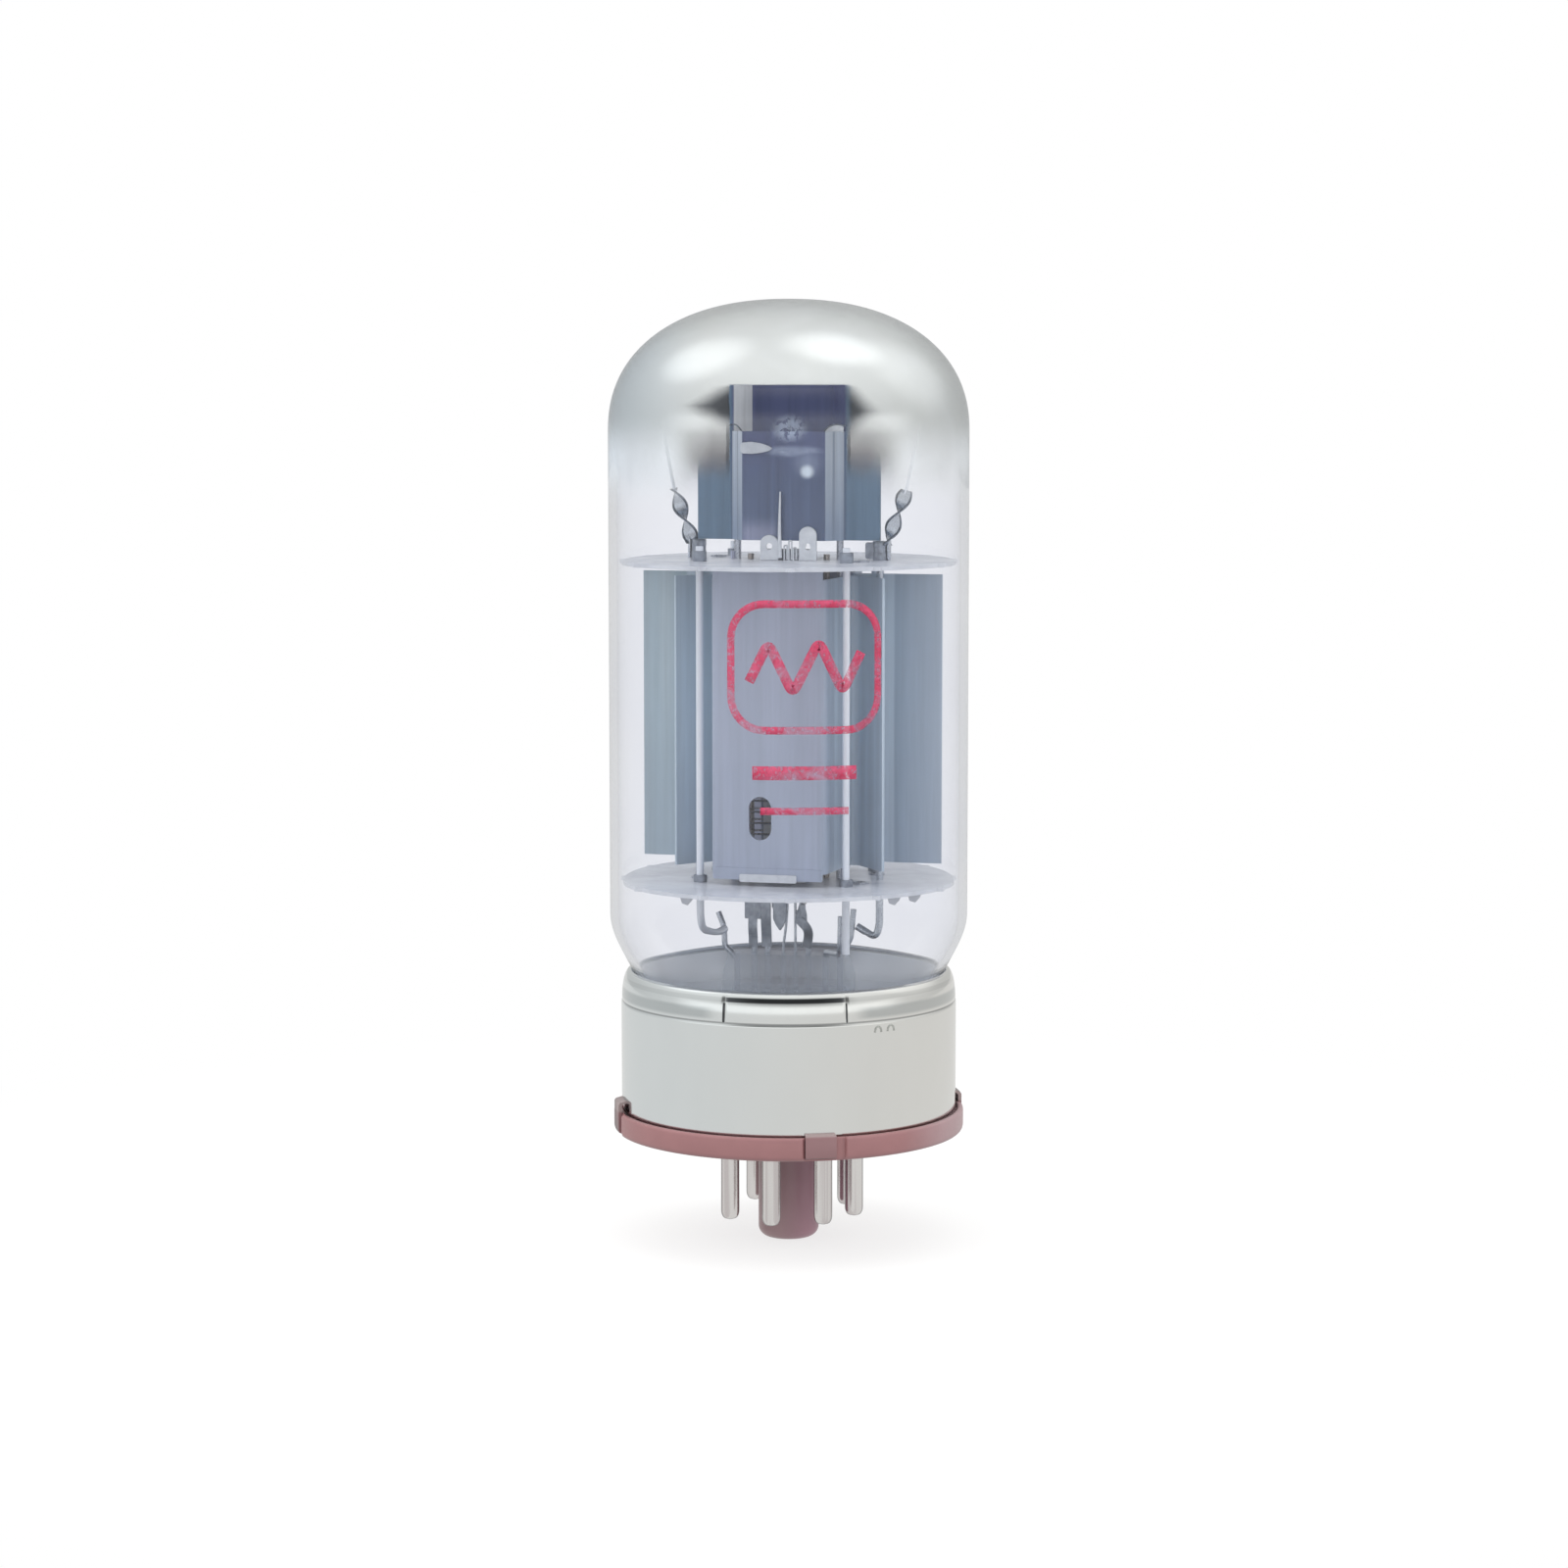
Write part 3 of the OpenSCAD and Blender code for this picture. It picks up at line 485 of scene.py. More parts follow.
def lug_colour(nt, pos):
    x, y, z, s, d = pos
    # paler over the bend at the top: painted reflection
    c = mixc(nt, mrange(nt, z, 2.95, 3.3, 0.0, 1.0, True), lin(142, 108, 111), lin(160, 142, 142))
    # darker where the lug is seen edge on: painted shade
    lw = nd(nt, "ShaderNodeLayerWeight", Blend=0.5)
    return mixc(nt, mrange(nt, lw.outputs["Facing"], 0.7, 0.95, 0.0, 0.8, True), c, lin(84, 80, 82))


def wafer_colour(nt, pos):
    x, y, z, s, d = pos
    key = mrange(nt, z, -0.6, 0.0, 1.0, 0.0, True)
    # paler towards the right end of the view: painted highlight
    rim = mixc(nt, mrange(nt, s, 13.5, 21.0, 0.0, 0.7, True), lin(151, 107, 109), lin(166, 142, 147))
    # darker along the bottom edge: painted shade
    rim = mixc(nt, mrange(nt, z, 0.0, 0.7, 0.35, 0.0, True), rim, lin(118, 88, 96))
    return mixc(nt, key, rim, mixc(nt, mrange(nt, s, -2.0, 3.0, 0.0, 1.0, True), lin(142, 116, 120), lin(148, 112, 124)))


def cement_colour(nt, pos):
    x, y, z, s, d = pos
    # darker at the far and the near edge of the view: painted shade
    c = mixc(nt, mrange(nt, d, -20, -16.5, 0.0, 1.0, True), lin(132, 132, 136), lin(196, 200, 202))
    return mixc(nt, mrange(nt, d, 17.2, 19.4, 0.0, 1.0, True), c, lin(112, 118, 122))


def blob(nt, x, z, cx, cz, rx, rz, soft=0.6):
    """1 at the middle of an ellipse, fading to 0 at its edge."""
    a = math_(nt, "DIVIDE", math_(nt, "SUBTRACT", x, cx), rx)
    b = math_(nt, "DIVIDE", math_(nt, "SUBTRACT", z, cz), rz)
    r = math_(nt, "SQRT", math_(nt, "ADD", math_(nt, "MULTIPLY", a, a), math_(nt, "MULTIPLY", b, b)))
    return mrange(nt, r, 1.0 - soft, 1.0, 1.0, 0.0, True)


# the cement carries a faint emission: painted light
M_CEMENT = painted("cement", cement_colour, (0.5, 0.7), 0.0, 0.2, (0.4, (1, 1, 1)), 0.3, 0.05, 0.0, 0.24)
M_ANODE = painted("grey_anode", anode_colour, (0.34, 0.46), 0.35, 0.06, (0.9, (1, 1, 0.1)), 0.5, 0.04, 0.09)
M_RAD = painted("dark_radiator", radiator_colour, (0.34, 0.46), 0.25, 0.06, (0.9, (1, 1, 0.1)), 0.4, 0.05, 0.16)
def pin_colour(nt, pos):
    s_ = noise(nt, coords(nt, (1, 1, 0.02)), 0.8, 3, 0.55, 0.2)
    # darker where the pin is seen edge on: painted shade along its outline
    lw = nd(nt, "ShaderNodeLayerWeight", Blend=0.5)
    return mixc(nt, mrange(nt, lw.outputs["Facing"], 0.42, 0.8, 0.0, 0.88, True), mixc(nt, mrange(nt, s_, 0.42, 0.58, 0.0, 0.6, True), lin(230, 227, 226), lin(196, 186, 188)), lin(98, 98, 100))


M_PIN = painted("tinned_brass", pin_colour, (0.16, 0.22), 1.0, 0.0, (0.5, (1, 1, 0.3)), 0.5, 0.02)
M_SHELL = painted("plated_steel", shell_colour, (0.09, 0.13), 1.0, 0.015, (0.5, (1, 1, 0.4)), 0.5, 0.015)
M_LUG = painted("shell_lug", lug_colour, (0.36, 0.42), 0.15, 0.02, (0.4, (1, 1, 1)), 0.5, 0.02)
M_WAFER = painted("phenolic", wafer_colour, (0.3, 0.42), 0.0, 0.12, (0.8, (1, 1, 1)), 0.5, 0.05)


def ink_material():
    m, nt = nodes_of("red_ink")
    vec = coords(nt)
    big = noise(nt, vec, 0.9, 4, 0.6, 0.5)
    col = ramp(nt, big, [(0.3, lin(196, 40, 82)), (0.7, lin(214, 84, 122))])
    b = nd(nt, "ShaderNodeBsdfPrincipled", Roughness=0.5)
    nt.links.new(col, b.inputs["Base Color"])
    nt.links.new(math_(nt, "MULTIPLY", mrange(nt, noise(nt, vec, 2.2, 5, 0.75), 0.36, 0.5, 0.12, 0.82), mrange(nt, noise(nt, vec, 0.22, 3, 0.6, 0.5), 0.34, 0.56, 0.25, 1.0)), b.inputs["Alpha"])
    o = nd(nt, "ShaderNodeOutputMaterial")
    nt.links.new(b.outputs[0], o.inputs["Surface"])
    return m


M_INK = ink_material()


def flash_material():
    """Metal mirror that covers the dome, fades out down the wall and leaves a clear window at the front."""
    m, nt = nodes_of("getter_silver")
    x, y, z, s, d = position(nt)
    vec = coords(nt)
    n1 = noise(nt, vec, 0.12, 4, 0.55, 0.6)
    n2 = noise(nt, vec, 0.5, 5, 0.6, 0.8)
    zz = math_(nt, "ADD", z, math_(nt, "MULTIPLY", math_(nt, "SUBTRACT", n1, 0.5), 3.0))
    front = mrange(nt, d, 4.0, 8.0, 0.0, 1.0, True)
    as_ = math_(nt, "ABSOLUTE", s)
    mid = math_(nt, "MULTIPLY", mrange(nt, as_, 10.6, 14.4, 1.0, 0.0, True), front)
    side = mrange(nt, zz, 79.8, 87.5, 0.0, 1.0, True)
    over = mrange(nt, zz, 83.4, 88.2, 0.0, 1.0, True)
    base = math_(nt, "ADD", math_(nt, "MULTIPLY", over, mid), math_(nt, "MULTIPLY", side, math_(nt, "SUBTRACT", 1.0, mid)))
    # window, with a straight upper edge, a sharp left side and a soft right side that is wider near the top
    wob = math_(nt, "MULTIPLY", math_(nt, "SUBTRACT", n2, 0.5), 0.35)
    sw = math_(nt, "ADD", s, wob)
    left = mrange(nt, sw, -7.3, -7.1, 0.0, 1.0, True)
    wide = mrange(nt, z, 89.6, 91.4, 0.0, 1.3, True)
    line = band(nt, sw, -7.6, -7.2, 0.12)
    right = mrange(nt, math_(nt, "SUBTRACT", sw, math_(nt, "MULTIPLY", wide, -0.25)), 6.9, math_(nt, "ADD", math_(nt, "MULTIPLY", wide, 0.7), 7.3), 1.0, 0.0, True)
    top = mrange(nt, z, 95.85, 96.1, 1.0, 0.0, True)
    win = math_(nt, "MULTIPLY", math_(nt, "MULTIPLY", math_(nt, "MULTIPLY", left, right), top), front)
    sheer = math_(nt, "MULTIPLY", mrange(nt, z, 86.0, 92.5, 0.4, 0.0, True), mrange(nt, as_, 11.5, 15.5, 0.0, 1.0, True))
    alpha = math_(nt, "MULTIPLY", math_(nt, "MULTIPLY", base, math_(nt, "SUBTRACT", 1.0, sheer)), math_(nt, "SUBTRACT", 1.0, win), True)
    # painted reflection: dark wisps that taper away on both sides of the window and dark lines along its edges; and a
    # brown-grey zone where the film runs out

    def reflection_wisp(dist, reach, zc, half):
        k = math_(nt, "SUBTRACT", math_(nt, "SUBTRACT", 1.0, math_(nt, "DIVIDE", dist, reach)), math_(nt, "DIVIDE", math_(nt, "ABSOLUTE", math_(nt, "SUBTRACT", z, zc)), half))
        return math_(nt, "MULTIPLY", mrange(nt, math_(nt, "ADD", k, math_(nt, "MULTIPLY", math_(nt, "SUBTRACT", n1, 0.5), 0.5)), 0.0, 0.75, 0.0, 1.0, True), mrange(nt, z, 95.6, 96.0, 1.0, 0.0, True))

    ls = math_(nt, "MULTIPLY", reflection_wisp(math_(nt, "MAXIMUM", math_(nt, "SUBTRACT", -7.25, sw), 0.0), 6.2, 93.4, 3.6), mrange(nt, s, -0.5, 0.5, 1.0, 0.0))
    rs = math_(nt, "MULTIPLY", reflection_wisp(math_(nt, "MAXIMUM", math_(nt, "SUBTRACT", sw, 6.8), 0.0), 4.8, 92.8, 5.2), mrange(nt, s, -0.5, 0.5, 0.0, 1.0))
    line = math_(nt, "MAXIMUM", line, math_(nt, "MULTIPLY", band(nt, sw, 7.15, 7.5, 0.12), mrange(nt, z, 90.5, 91.5, 1.0, 0.0)))
    dark_reflection = math_(nt, "MULTIPLY", math_(nt, "MAXIMUM", math_(nt, "ADD", ls, rs), math_(nt, "MULTIPLY", line, math_(nt, "MULTIPLY", mrange(nt, z, 84, 91.0, 0.8, 0.6), mrange(nt, z, 95.6, 96.0, 1.0, 0.0, True)))), front, True)
    thin = mrange(nt, zz, 85.5, 94.5, 1.0, 0.0, True)
    # bluer towards the left of the view: painted reflection
    silver = mixc(nt, mrange(nt, s, -21.0, -9.0, 0.85, 0.0, True), ramp(nt, n1, [(0.3, lin(232, 234, 231)), (0.7, lin(238, 240, 238))]), lin(228, 237, 242))
    c1 = mixc(nt, math_(nt, "MULTIPLY", thin, mrange(nt, as_, 9.0, 14.8, 0.95, 0.0, True)), silver, lin(120, 117, 122))
    # darkening beside the window: painted reflection
    c2 = mixc(nt, math_(nt, "MULTIPLY", dark_reflection, 0.94), c1, lin(66, 70, 78))
    b = nd(nt, "ShaderNodeBsdfPrincipled", Metallic=1.0)
    nt.links.new(c2, b.inputs["Base Color"])
    nt.links.new(mrange(nt, n2, 0.3, 0.7, 0.1, 0.14), b.inputs["Roughness"])
    # the sheer band glows faintly: painted light
    b.inputs["Emission Color"].default_value = (0.93, 0.96, 1.0, 1)
    nt.links.new(math_(nt, "MULTIPLY", sheer, mrange(nt, s, -10.0, 10.0, 0.74, 0.62)), b.inputs["Emission Strength"])
    # the film lets most soft light through, as it does to the eye from inside
    lp = nd(nt, "ShaderNodeLightPath")
    veil = math_(nt, "SUBTRACT", 1.0, math_(nt, "MULTIPLY", math_(nt, "MAXIMUM", lp.outputs["Is Shadow Ray"], lp.outputs["Is Diffuse Ray"]), 0.85))
    nt.links.new(math_(nt, "MULTIPLY", alpha, veil), b.inputs["Alpha"])
    o = nd(nt, "ShaderNodeOutputMaterial")
    nt.links.new(b.outputs[0], o.inputs["Surface"])
    return m


M_FLASH = flash_material()

# ---------------------------------------------------------------- CAD nodes that are shown as they are
LOOK = dict(base_cement=M_CEMENT, pin_solder=M_SOLDER, exhaust_tube=M_STEM, dumet_seals=M_SEAL,
            outer_leads=M_COPPER, shell_ground_strap=M_SOLDER, lower_mica=M_MICA, upper_mica=M_MICA, anode_front=M_ANODE,
            anode_rear=M_ANODE, rod_ferrules=M_DULL, mica_eyelets=M_NICKEL, cathode_sleeve=M_NICKEL, cathode_coating=M_OXIDE,
            heater=M_OXIDE, heater_tabs=M_NICKEL, control_grid_rods=M_GOLD, control_grid_wire=M_GOLD, 
            screen_grid_wire=M_DULL, beam_plates=M_BEAM, radiator_front=M_RAD, radiator_rear=M_RAD, getter_rings=M_GSTEEL,
            getter_fill=M_GFILL, stem_glass=M_STEM)
for name, mat in LOOK.items():
    o = N[name]
    o.data.materials.clear()
    o.data.materials.append(mat)

# ---------------------------------------------------------------- bulb and getter film
BR, WALL, TOP, DH, P = 23.0, 1.1, 106.7, 16.8, 2.25
DZ = TOP - DH


def dome(r, h, n=56):
    out = []
    for i in range(n + 1):
        a = math.radians(90 * i / n)
        out.append((r * math.cos(a) ** (2 / P) if i < n else 0.0, DZ + h * math.sin(a) ** (2 / P)))
    return out


def neck(r, z):
    if z >= 28.3:
        return r
    if z <= 16:
        return r - 4
    return r - 4 * (1 + math.cos(math.pi * ((z - 16) / 12.3) ** 1.1)) / 2


low = [7.5 + i * (28.3 - 7.5) / 44 for i in range(45)]
wall = [36, 46, 56, 66, 76, 84]
outer = [(neck(BR, z), z) for z in low] + [(BR, z) for z in wall] + dome(BR, DH)
inner = [(neck(BR - WALL, z), z) for z in low] + [(BR - WALL, z) for z in wall] + dome(BR - WALL, DH - WALL)
make("bulb", *lathe(outer + inner[::-1], 192), M_BULB, sharp=60, replaces=["glass_bulb"], slot="bulb_glass")

fi = BR - 0.28
film = [(fi, z) for z in (78.2, 79.5, 81, 83, 85, 87.5)] + dome(fi, DH - 0.28)
make("getter_mirror", *lathe(film, 192, closed=False), M_FLASH, sharp=0, replaces=["getter_flash"], slot="getter_silver")

# ---------------------------------------------------------------- base shell
SR, ST = 21.6, 0.3
prof = [(SR - 0.3, 2.5), (SR - 0.16, 2.62), (SR - 0.04, 2.9), (SR, 3.3), (SR, 10), (SR, 16.7), (SR - 0.02, 16.9), (SR - 0.1, 17.02), (SR - 0.12, 17.12), (SR - 0.1, 17.25)]
for i in range(0, 17):
    a = math.radians(90 * i / 16)
    prof.append((SR - 0.08 - 0.98 * (1 - math.cos(a)), 17.4 + 3.5 * math.sin(a)))
prof += [(SR - 1.12, 20.98), (SR - 1.24, 21.0), (SR - 1.33, 20.95), (SR - 1.36, 20.85), (SR - 1.3, 20.4), (SR - 0.7, 19.2), (SR - ST, 17.4), (SR - ST, 3.2), (SR - 0.5, 2.6)]
SEAMS = [math.degrees(AZ) - 22 - 90, math.degrees(AZ) + 19.5 - 90]


def seam(r, z, deg):
    if z > 17.1 and r > SR - 1.3:
        for s0 in SEAMS:
            k = abs((deg - s0 + 180) % 360 - 180)
            if k < 0.75:
                w = math.sin(min(1, (z - 17.1) / 0.7) * math.pi / 2)
                return r - 0.16 * w * (1 - (k / 0.75) ** 2), z
    return r, z


make("shell", *lathe(prof, 720, push=seam), M_SHELL, sharp=50, replaces=["base_shell"], slot="plated_steel")

LUGS = (25, 115, 205, 295)
lugs = Soup()
for a in LUGS:
    side_on = a in (115, 295)
    t = 4.4 if side_on else 3.35
    lug = [(SR - 0.1, t + 0.1), (SR + 0.02, t + 0.1), (SR + 0.4, t), (SR + 0.82, t - 0.12), (SR + 1.0, t - 0.4), (SR + 1.0, 0.7), (SR + 0.92, 0.45), (SR + 0.6, 0.3),
           (SR - 1.2, 0.3), (SR - 1.2, 0.6), (SR + 0.45, 0.62), (SR + 0.56, 0.8), (SR + 0.56, t - 0.5), (SR + 0.4, t - 0.3), (SR - 0.1, t - 0.2)]
    lugs.add(*lathe(lug, 16, a0=a - 95, a1=a - 85))
make("shell_lugs", lugs.v, lugs.f, M_LUG, sharp=40)

ring_ = []
for i in range(9):
    z_ = 16.9 + (20.35 - 16.9) * i / 8
    ring_.append((neck(BR, z_) + 0.03, z_))
col = [(20.62, 20.2), (20.75, 19.6), (20.95, 18.8), (21.15, 17.8), (21.25, 16.9)]
make("cement_collar", *lathe([ring_[-1], (20.2, 20.42)] + col + ring_[:-1], 144), M_CEMENT, sharp=40)

# Two small pinch marks under the shell's step
marks = Soup()
for k0 in (11.15, 12.75):
    pts = []
    for i in range(11):
        t = math.pi * i / 10
        s0, z0 = k0 - 0.4 * math.cos(t), 15.7 + 0.75 * math.sin(t)
        a = math.asin(s0 / 21.62) + AZ
        pts.append((21.56 * math.sin(a), -21.56 * math.cos(a), z0))
    marks.add(*sweep(pts, disc(0.15, 8)))
make("pinch_marks", marks.v, marks.f, M_PINCH, sharp=0)

# ---------------------------------------------------------------- wafer and locating key
WR, KR = 22.6, 3.91


def notch(r, z, deg):
    if r > WR - 0.7:
        for a in LUGS:
            k = (deg - (a - 90) + 180) % 360 - 180
            if -5.7 < k < 8.3:
                w = min(1.0, (k + 5.7) / 0.35, (8.3 - k) / 0.35)
                return min(r, r * (1 - w) + (WR - 0.5 - 0.25 * (WR - r)) * w), z
    return r, z


wafer = Soup()
wafer.add(*lathe([(0, 0.02), (6, 0.0), (21.6, 0.0), (22.0, 0.02), (22.25, 0.1), (22.42, 0.24), (22.54, 0.45), (22.6, 0.75), (22.6, 2.6), (22.56, 2.82),
                  (22.44, 2.95), (22.25, 3.0), (22.0, 2.98), (21.93, 2.9), (21.9, 2.75), (21.88, 2.3), (21.0, 2.3), (19, 2.48), (0, 2.46)], 720, closed=False, push=notch))
key = [(0, -14.2), (2.2, -14.2), (2.6, -14.16)]
for i in range(1, 9):
    a = math.radians(90 * i / 8)
    key.append((2.51 + 1.4 * math.sin(a), -12.8 - 1.4 * math.cos(a)))
key += [(KR, -6), (KR, -0.5), (KR + 0.06, -0.2), (KR + 0.3, 0.05), (0, 0.1)]
wafer.add(*lathe(key, 96, closed=False))
for a in (22.5,):
    c, s_ = math.cos(math.radians(a - 90)), math.sin(math.radians(a - 90))
    sec = [(-1.1, 0), (1.1, 0), (1.1, 1.55), (0.95, 1.85), (0.6, 2.0), (-0.6, 2.0), (-0.95, 1.85), (-1.1, 1.55)]
    rib = sweep([(c * 2.96, s_ * 2.96, -12.4), (c * 2.96, s_ * 2.96, -12.1), (c * 2.96, s_ * 2.96, 0.05)], [(q[0], q[1]) for q in sec], up=(-s_, c, 0),
                taper=None)
    wafer.add(*rib)
make("wafer_and_key", wafer.v, wafer.f, M_WAFER, sharp=38, replaces=["base_wafer"], slot="phenolic")

pins = Soup()
for k in (0, 45, 90, 135, 180, 225, 315):
    a = math.radians(k)
    pp = [(0, -11.1), (0.35, -11.09), (0.62, -11.0)]
    for i in range(1, 8):
        b_ = math.radians(90 * i / 7)
        pp.append((0.62 + 0.56 * math.sin(b_), -9.95 - 1.05 * math.cos(b_)))
    pp += [(1.18, -5), (1.18, -0.35), (1.21, -0.15), (1.3, 0.02), (0, 0.05)]
    pins.add(*lathe(pp, 40, closed=False, centre=(8.725 * math.sin(a), -8.725 * math.cos(a))))
make("pins", pins.v, pins.f, M_PIN, sharp=40, replaces=["contact_pins"], slot="tinned_brass")

# ---------------------------------------------------------------- smooth bent wires and rods
RR, LR = 0.48, 0.38
SU, SV, AU = 9.5, 8.0, 12.0
rods = Soup()
for s0 in (-1, 1):
    rods.add(*wire([(s0 * SU, SV, 31), (s0 * SU, SV, 75.6)], RR, n=20))
rods.add(*wire([(SU, -SV, 24.4), (SU, -SV, 75.6)], RR, n=20))
rods.add(*wire([(-SU, -SV, 75.6), (-SU, -SV, 28.4), (-SU + 0.1, -SV + 0.7, 26.7), (-SU + 0.9, -SV + 4.0, 25.7), (-8.3, -1.0, 25.9)], RR, 1.9, 20))
make("cage_rods", rods.v, rods.f, M_ROD, sharp=40, replaces=["support_rods"], slot="nickel")

posts = Soup()
for s0 in (-1, 1):
    posts.add(*wire([(s0 * 6.75, 0, 31), (s0 * 6.75, 0, 89.4)], 0.45, n=18))
make("screen_posts", posts.v, posts.f, M_NICKEL, sharp=40, replaces=["screen_grid_rods"], slot="nickel")

arods = Soup()
arods.add(*wire([(-AU, 0, 31.4), (-AU, 0, 76.1)], RR, n=20))
arods.add(*wire([(AU, 0, 76.1), (AU, 0, 26.9), (AU - 0.5, 0.02, 25.3), (9.0, 0.2, 26.7)], RR, 1.1, 20))
make("plate_rods", arods.v, arods.f, M_WIRE, sharp=40, replaces=["anode_rods"], slot="nickel")

leads = Soup()
leads.add(*wire([(-7.2, 0, 22.3), (-7.7, 0, 22.9), (-8.6, 0, 23.5), (-8.65, 0, 26.0), (-9.5, 0.2, 27.9)], LR, 0.7))
leads.add(*wire([(-4.6, 0, 22.7), (-4.6, 0, 25.4)], LR))
leads.add(*wire([(-2.8, 0, 22.7), (-2.8, 0, 25.4)], LR))
leads.add(*wire([(-0.7, 0, 22.7), (-0.72, 0.01, 23.6), (-0.15, 0.02, 28), (-0.2, 0.02, 32.2)], 0.17, 2))
leads.add(*wire([(0.9, 0, 22.7), (0.9, 0, 28), (0.85, 0, 32.2)], 0.17, 2))
leads.add(*wire([(2.6, 0, 22.7), (2.6, 0, 24.8)], LR))
leads.add(*wire([(4.9, 0, 22.7), (4.9, 0, 23.3), (6.9, -3.2, 23.6), (8.5, -7.2, 24.2), (8.62, -7.4, 29.0)], LR * 0.8, 1.4))
leads.add(*wire([(6.8, 0, 22.7), (6.8, 0, 23.6), (8.2, 0, 24.7), (8.6, 0, 28.9)], LR, 1.0))
make("press_leads", leads.v, leads.f, M_WIRE, sharp=40, replaces=["inner_leads"], slot="nickel")


def plate(pts, t, o, ux, uy, hole=None, lens=0.0):
    """Thin flat plate: outline pts in the plane (ux, uy) at o, thickness t, with eased rims and an optional round hole."""
    ux, uy, o = Vector(ux), Vector(uy), Vector(o)
    nrm = ux.cross(uy)
    n = len(pts)
    cx, cy = sum(p[0] for p in pts) / n, sum(p[1] for p in pts) / n
    e = min(0.06, t * 0.3)
    rings, v = [], []
    for inset, h in ((e, -t / 2), (0, -t / 2 + e), (0, t / 2 - e), (e, t / 2)):
        row = []
        for x, y in pts:
            L = math.hypot(x - cx, y - cy) or 1
            k = 1 - inset / L
            row.append(len(v))
            v.append(tuple(o + ux * (cx + (x - cx) * k) + uy * (cy + (y - cy) * k) + nrm * h))
        rings.append(row)
    f = []
    for A, B in zip(rings, rings[1:]):
        for k in range(n):
            f.append((A[k], A[(k + 1) % n], B[(k + 1) % n], B[k]))
    if hole:
        hx, hy, hr = hole
        inner = []
        for h in (-t / 2, t / 2):
            row = []
            for x, y in pts:
                a = math.atan2(y - hy, x - hx)
                row.append(len(v))
                v.append(tuple(o + ux * (hx + hr * math.cos(a)) + uy * (hy + hr * math.sin(a)) + nrm * h))
            inner.append(row)
        for k in range(n):
            k2 = (k + 1) % n
            f.append((rings[0][k], inner[0][k], inner[0][k2], rings[0][k2]))
            f.append((rings[-1][k], rings[-1][k2], inner[1][k2], inner[1][k]))
            f.append((inner[0][k], inner[1][k], inner[1][k2], inner[0][k2]))
    else:
        f.append(tuple(reversed(rings[0])))
        f.append(tuple(rings[-1]))
    return v, f


def box_pts(w, h, r=0.15, n=4, x0=0.0, y0=0.0):
    out = []
    for cx, cy, a0 in ((w / 2 - r, h / 2 - r, 0), (-w / 2 + r, h / 2 - r, 90), (-w / 2 + r, -h / 2 + r, 180), (w / 2 - r, -h / 2 + r, 270)):
        for k in range(n + 1):
            a = math.radians(a0 + 90 * k / n)
            out.append((x0 + cx + r * math.cos(a), y0 + cy + r * math.sin(a)))
    return out


X, Z = (1, 0, 0), (0, 0, 1)
st = Soup()
st.add(*plate(box_pts(2.3, 4.6), 0.3, (-4.55, -0.63, 29.6), X, Z))
st.add(*sweep(rounded([(-4.6, -0.65, 27.8), (-4.62, -0.8, 26.2), (-4.6, -0.55, 25.0), (-4.6, -0.55, 23.6)], 0.8), bar(1.2, 0.24), up=X))
make("grid_strap", st.v, st.f, M_DULL, sharp=40, replaces=["control_grid_strap"], slot="dull_nickel")
st = Soup()
st.add(*plate(box_pts(5.1, 1.0), 0.3, (-4.65, -0.97, 31.6), X, Z))
st.add(*sweep(rounded([(-2.8, -0.97, 31.6), (-2.8, -0.97, 27.5), (-2.8, -0.55, 25.2), (-2.8, -0.55, 23.7)], 1.0), bar(1.35, 0.24), up=X))
make("screen_strap", st.v, st.f, M_DULL, sharp=40, replaces=["screen_grid_strap"], slot="dull_nickel")
st = Soup()
st.add(*sweep(rounded([(1.75, -1.0, 32.1), (1.8, -1.0, 30.2), (2.0, -1.02, 28.6), (1.9, -1.0, 27.0)], 0.5), bar(1.6, 0.22), up=X, twist=170))
st.add(*sweep(rounded([(1.7, -0.98, 27.4), (2.9, -0.98, 26.2), (2.75, -0.55, 24.8), (2.5, -0.55, 23.8)], 1.0), bar(1.2, 0.22), up=X))
make("sleeve_strap", st.v, st.f, M_DULL, sharp=40, replaces=["cathode_strap"], slot="dull_nickel")
st = Soup()
st.add(*plate([(-1.75, 32.2), (-1.75, 27.5), (-1.4, 26.7), (-0.95, 26.05), (-0.75, 26.02), (-0.4, 26.5), (-0.1, 27.2), (0.05, 27.8), (0.05, 32.2)], 0.25, (0, -1.22, 0), X, Z))
make("plate_strap", st.v, st.f, M_DULL, sharp=40, replaces=["beam_plate_strap"], slot="dull_nickel")

clips = Soup()
for u0, w in ((-1.75, 1.18), (3.3, 1.15)):
    up0 = 2.1 if u0 < 0 else 3.2
    arch = [(-w, 0.0), (-w, 1.0)] + [(w * -math.cos(math.radians(a)), up0 + 1.1 * math.sin(math.radians(a))) for a in range(0, 181, 12)] + [(w, 1.0), (w, 0.0), (w * 0.4, 0), (-w * 0.4, 0)]
    clips.add(*plate(arch[::-1], 0.3, (u0, -3.0, 73.72), X, Z, hole=(0.0, 1.75, 0.42)))
for u0, h in ((0.35, 1.9), (0.95, 2.5), (1.55, 1.6)):
    clips.add(*wire([(u0 - 0.18, -2.9, 73.7), (u0 - 0.18, -2.9, 73.7 + h), (u0 + 0.2, -2.9, 73.7 + h), (u0 + 0.2, -2.9, 73.8)], 0.11, 0.2, 8))
spike = sweep(rounded([(-0.35, -3.1, 74.0), (-0.4, -3.1, 78.0), (-0.3, -3.1, 82.4)], 1.0), disc(0.3, 12), taper=lambda t: 1 - 0.65 * t)
clips.add(*spike)
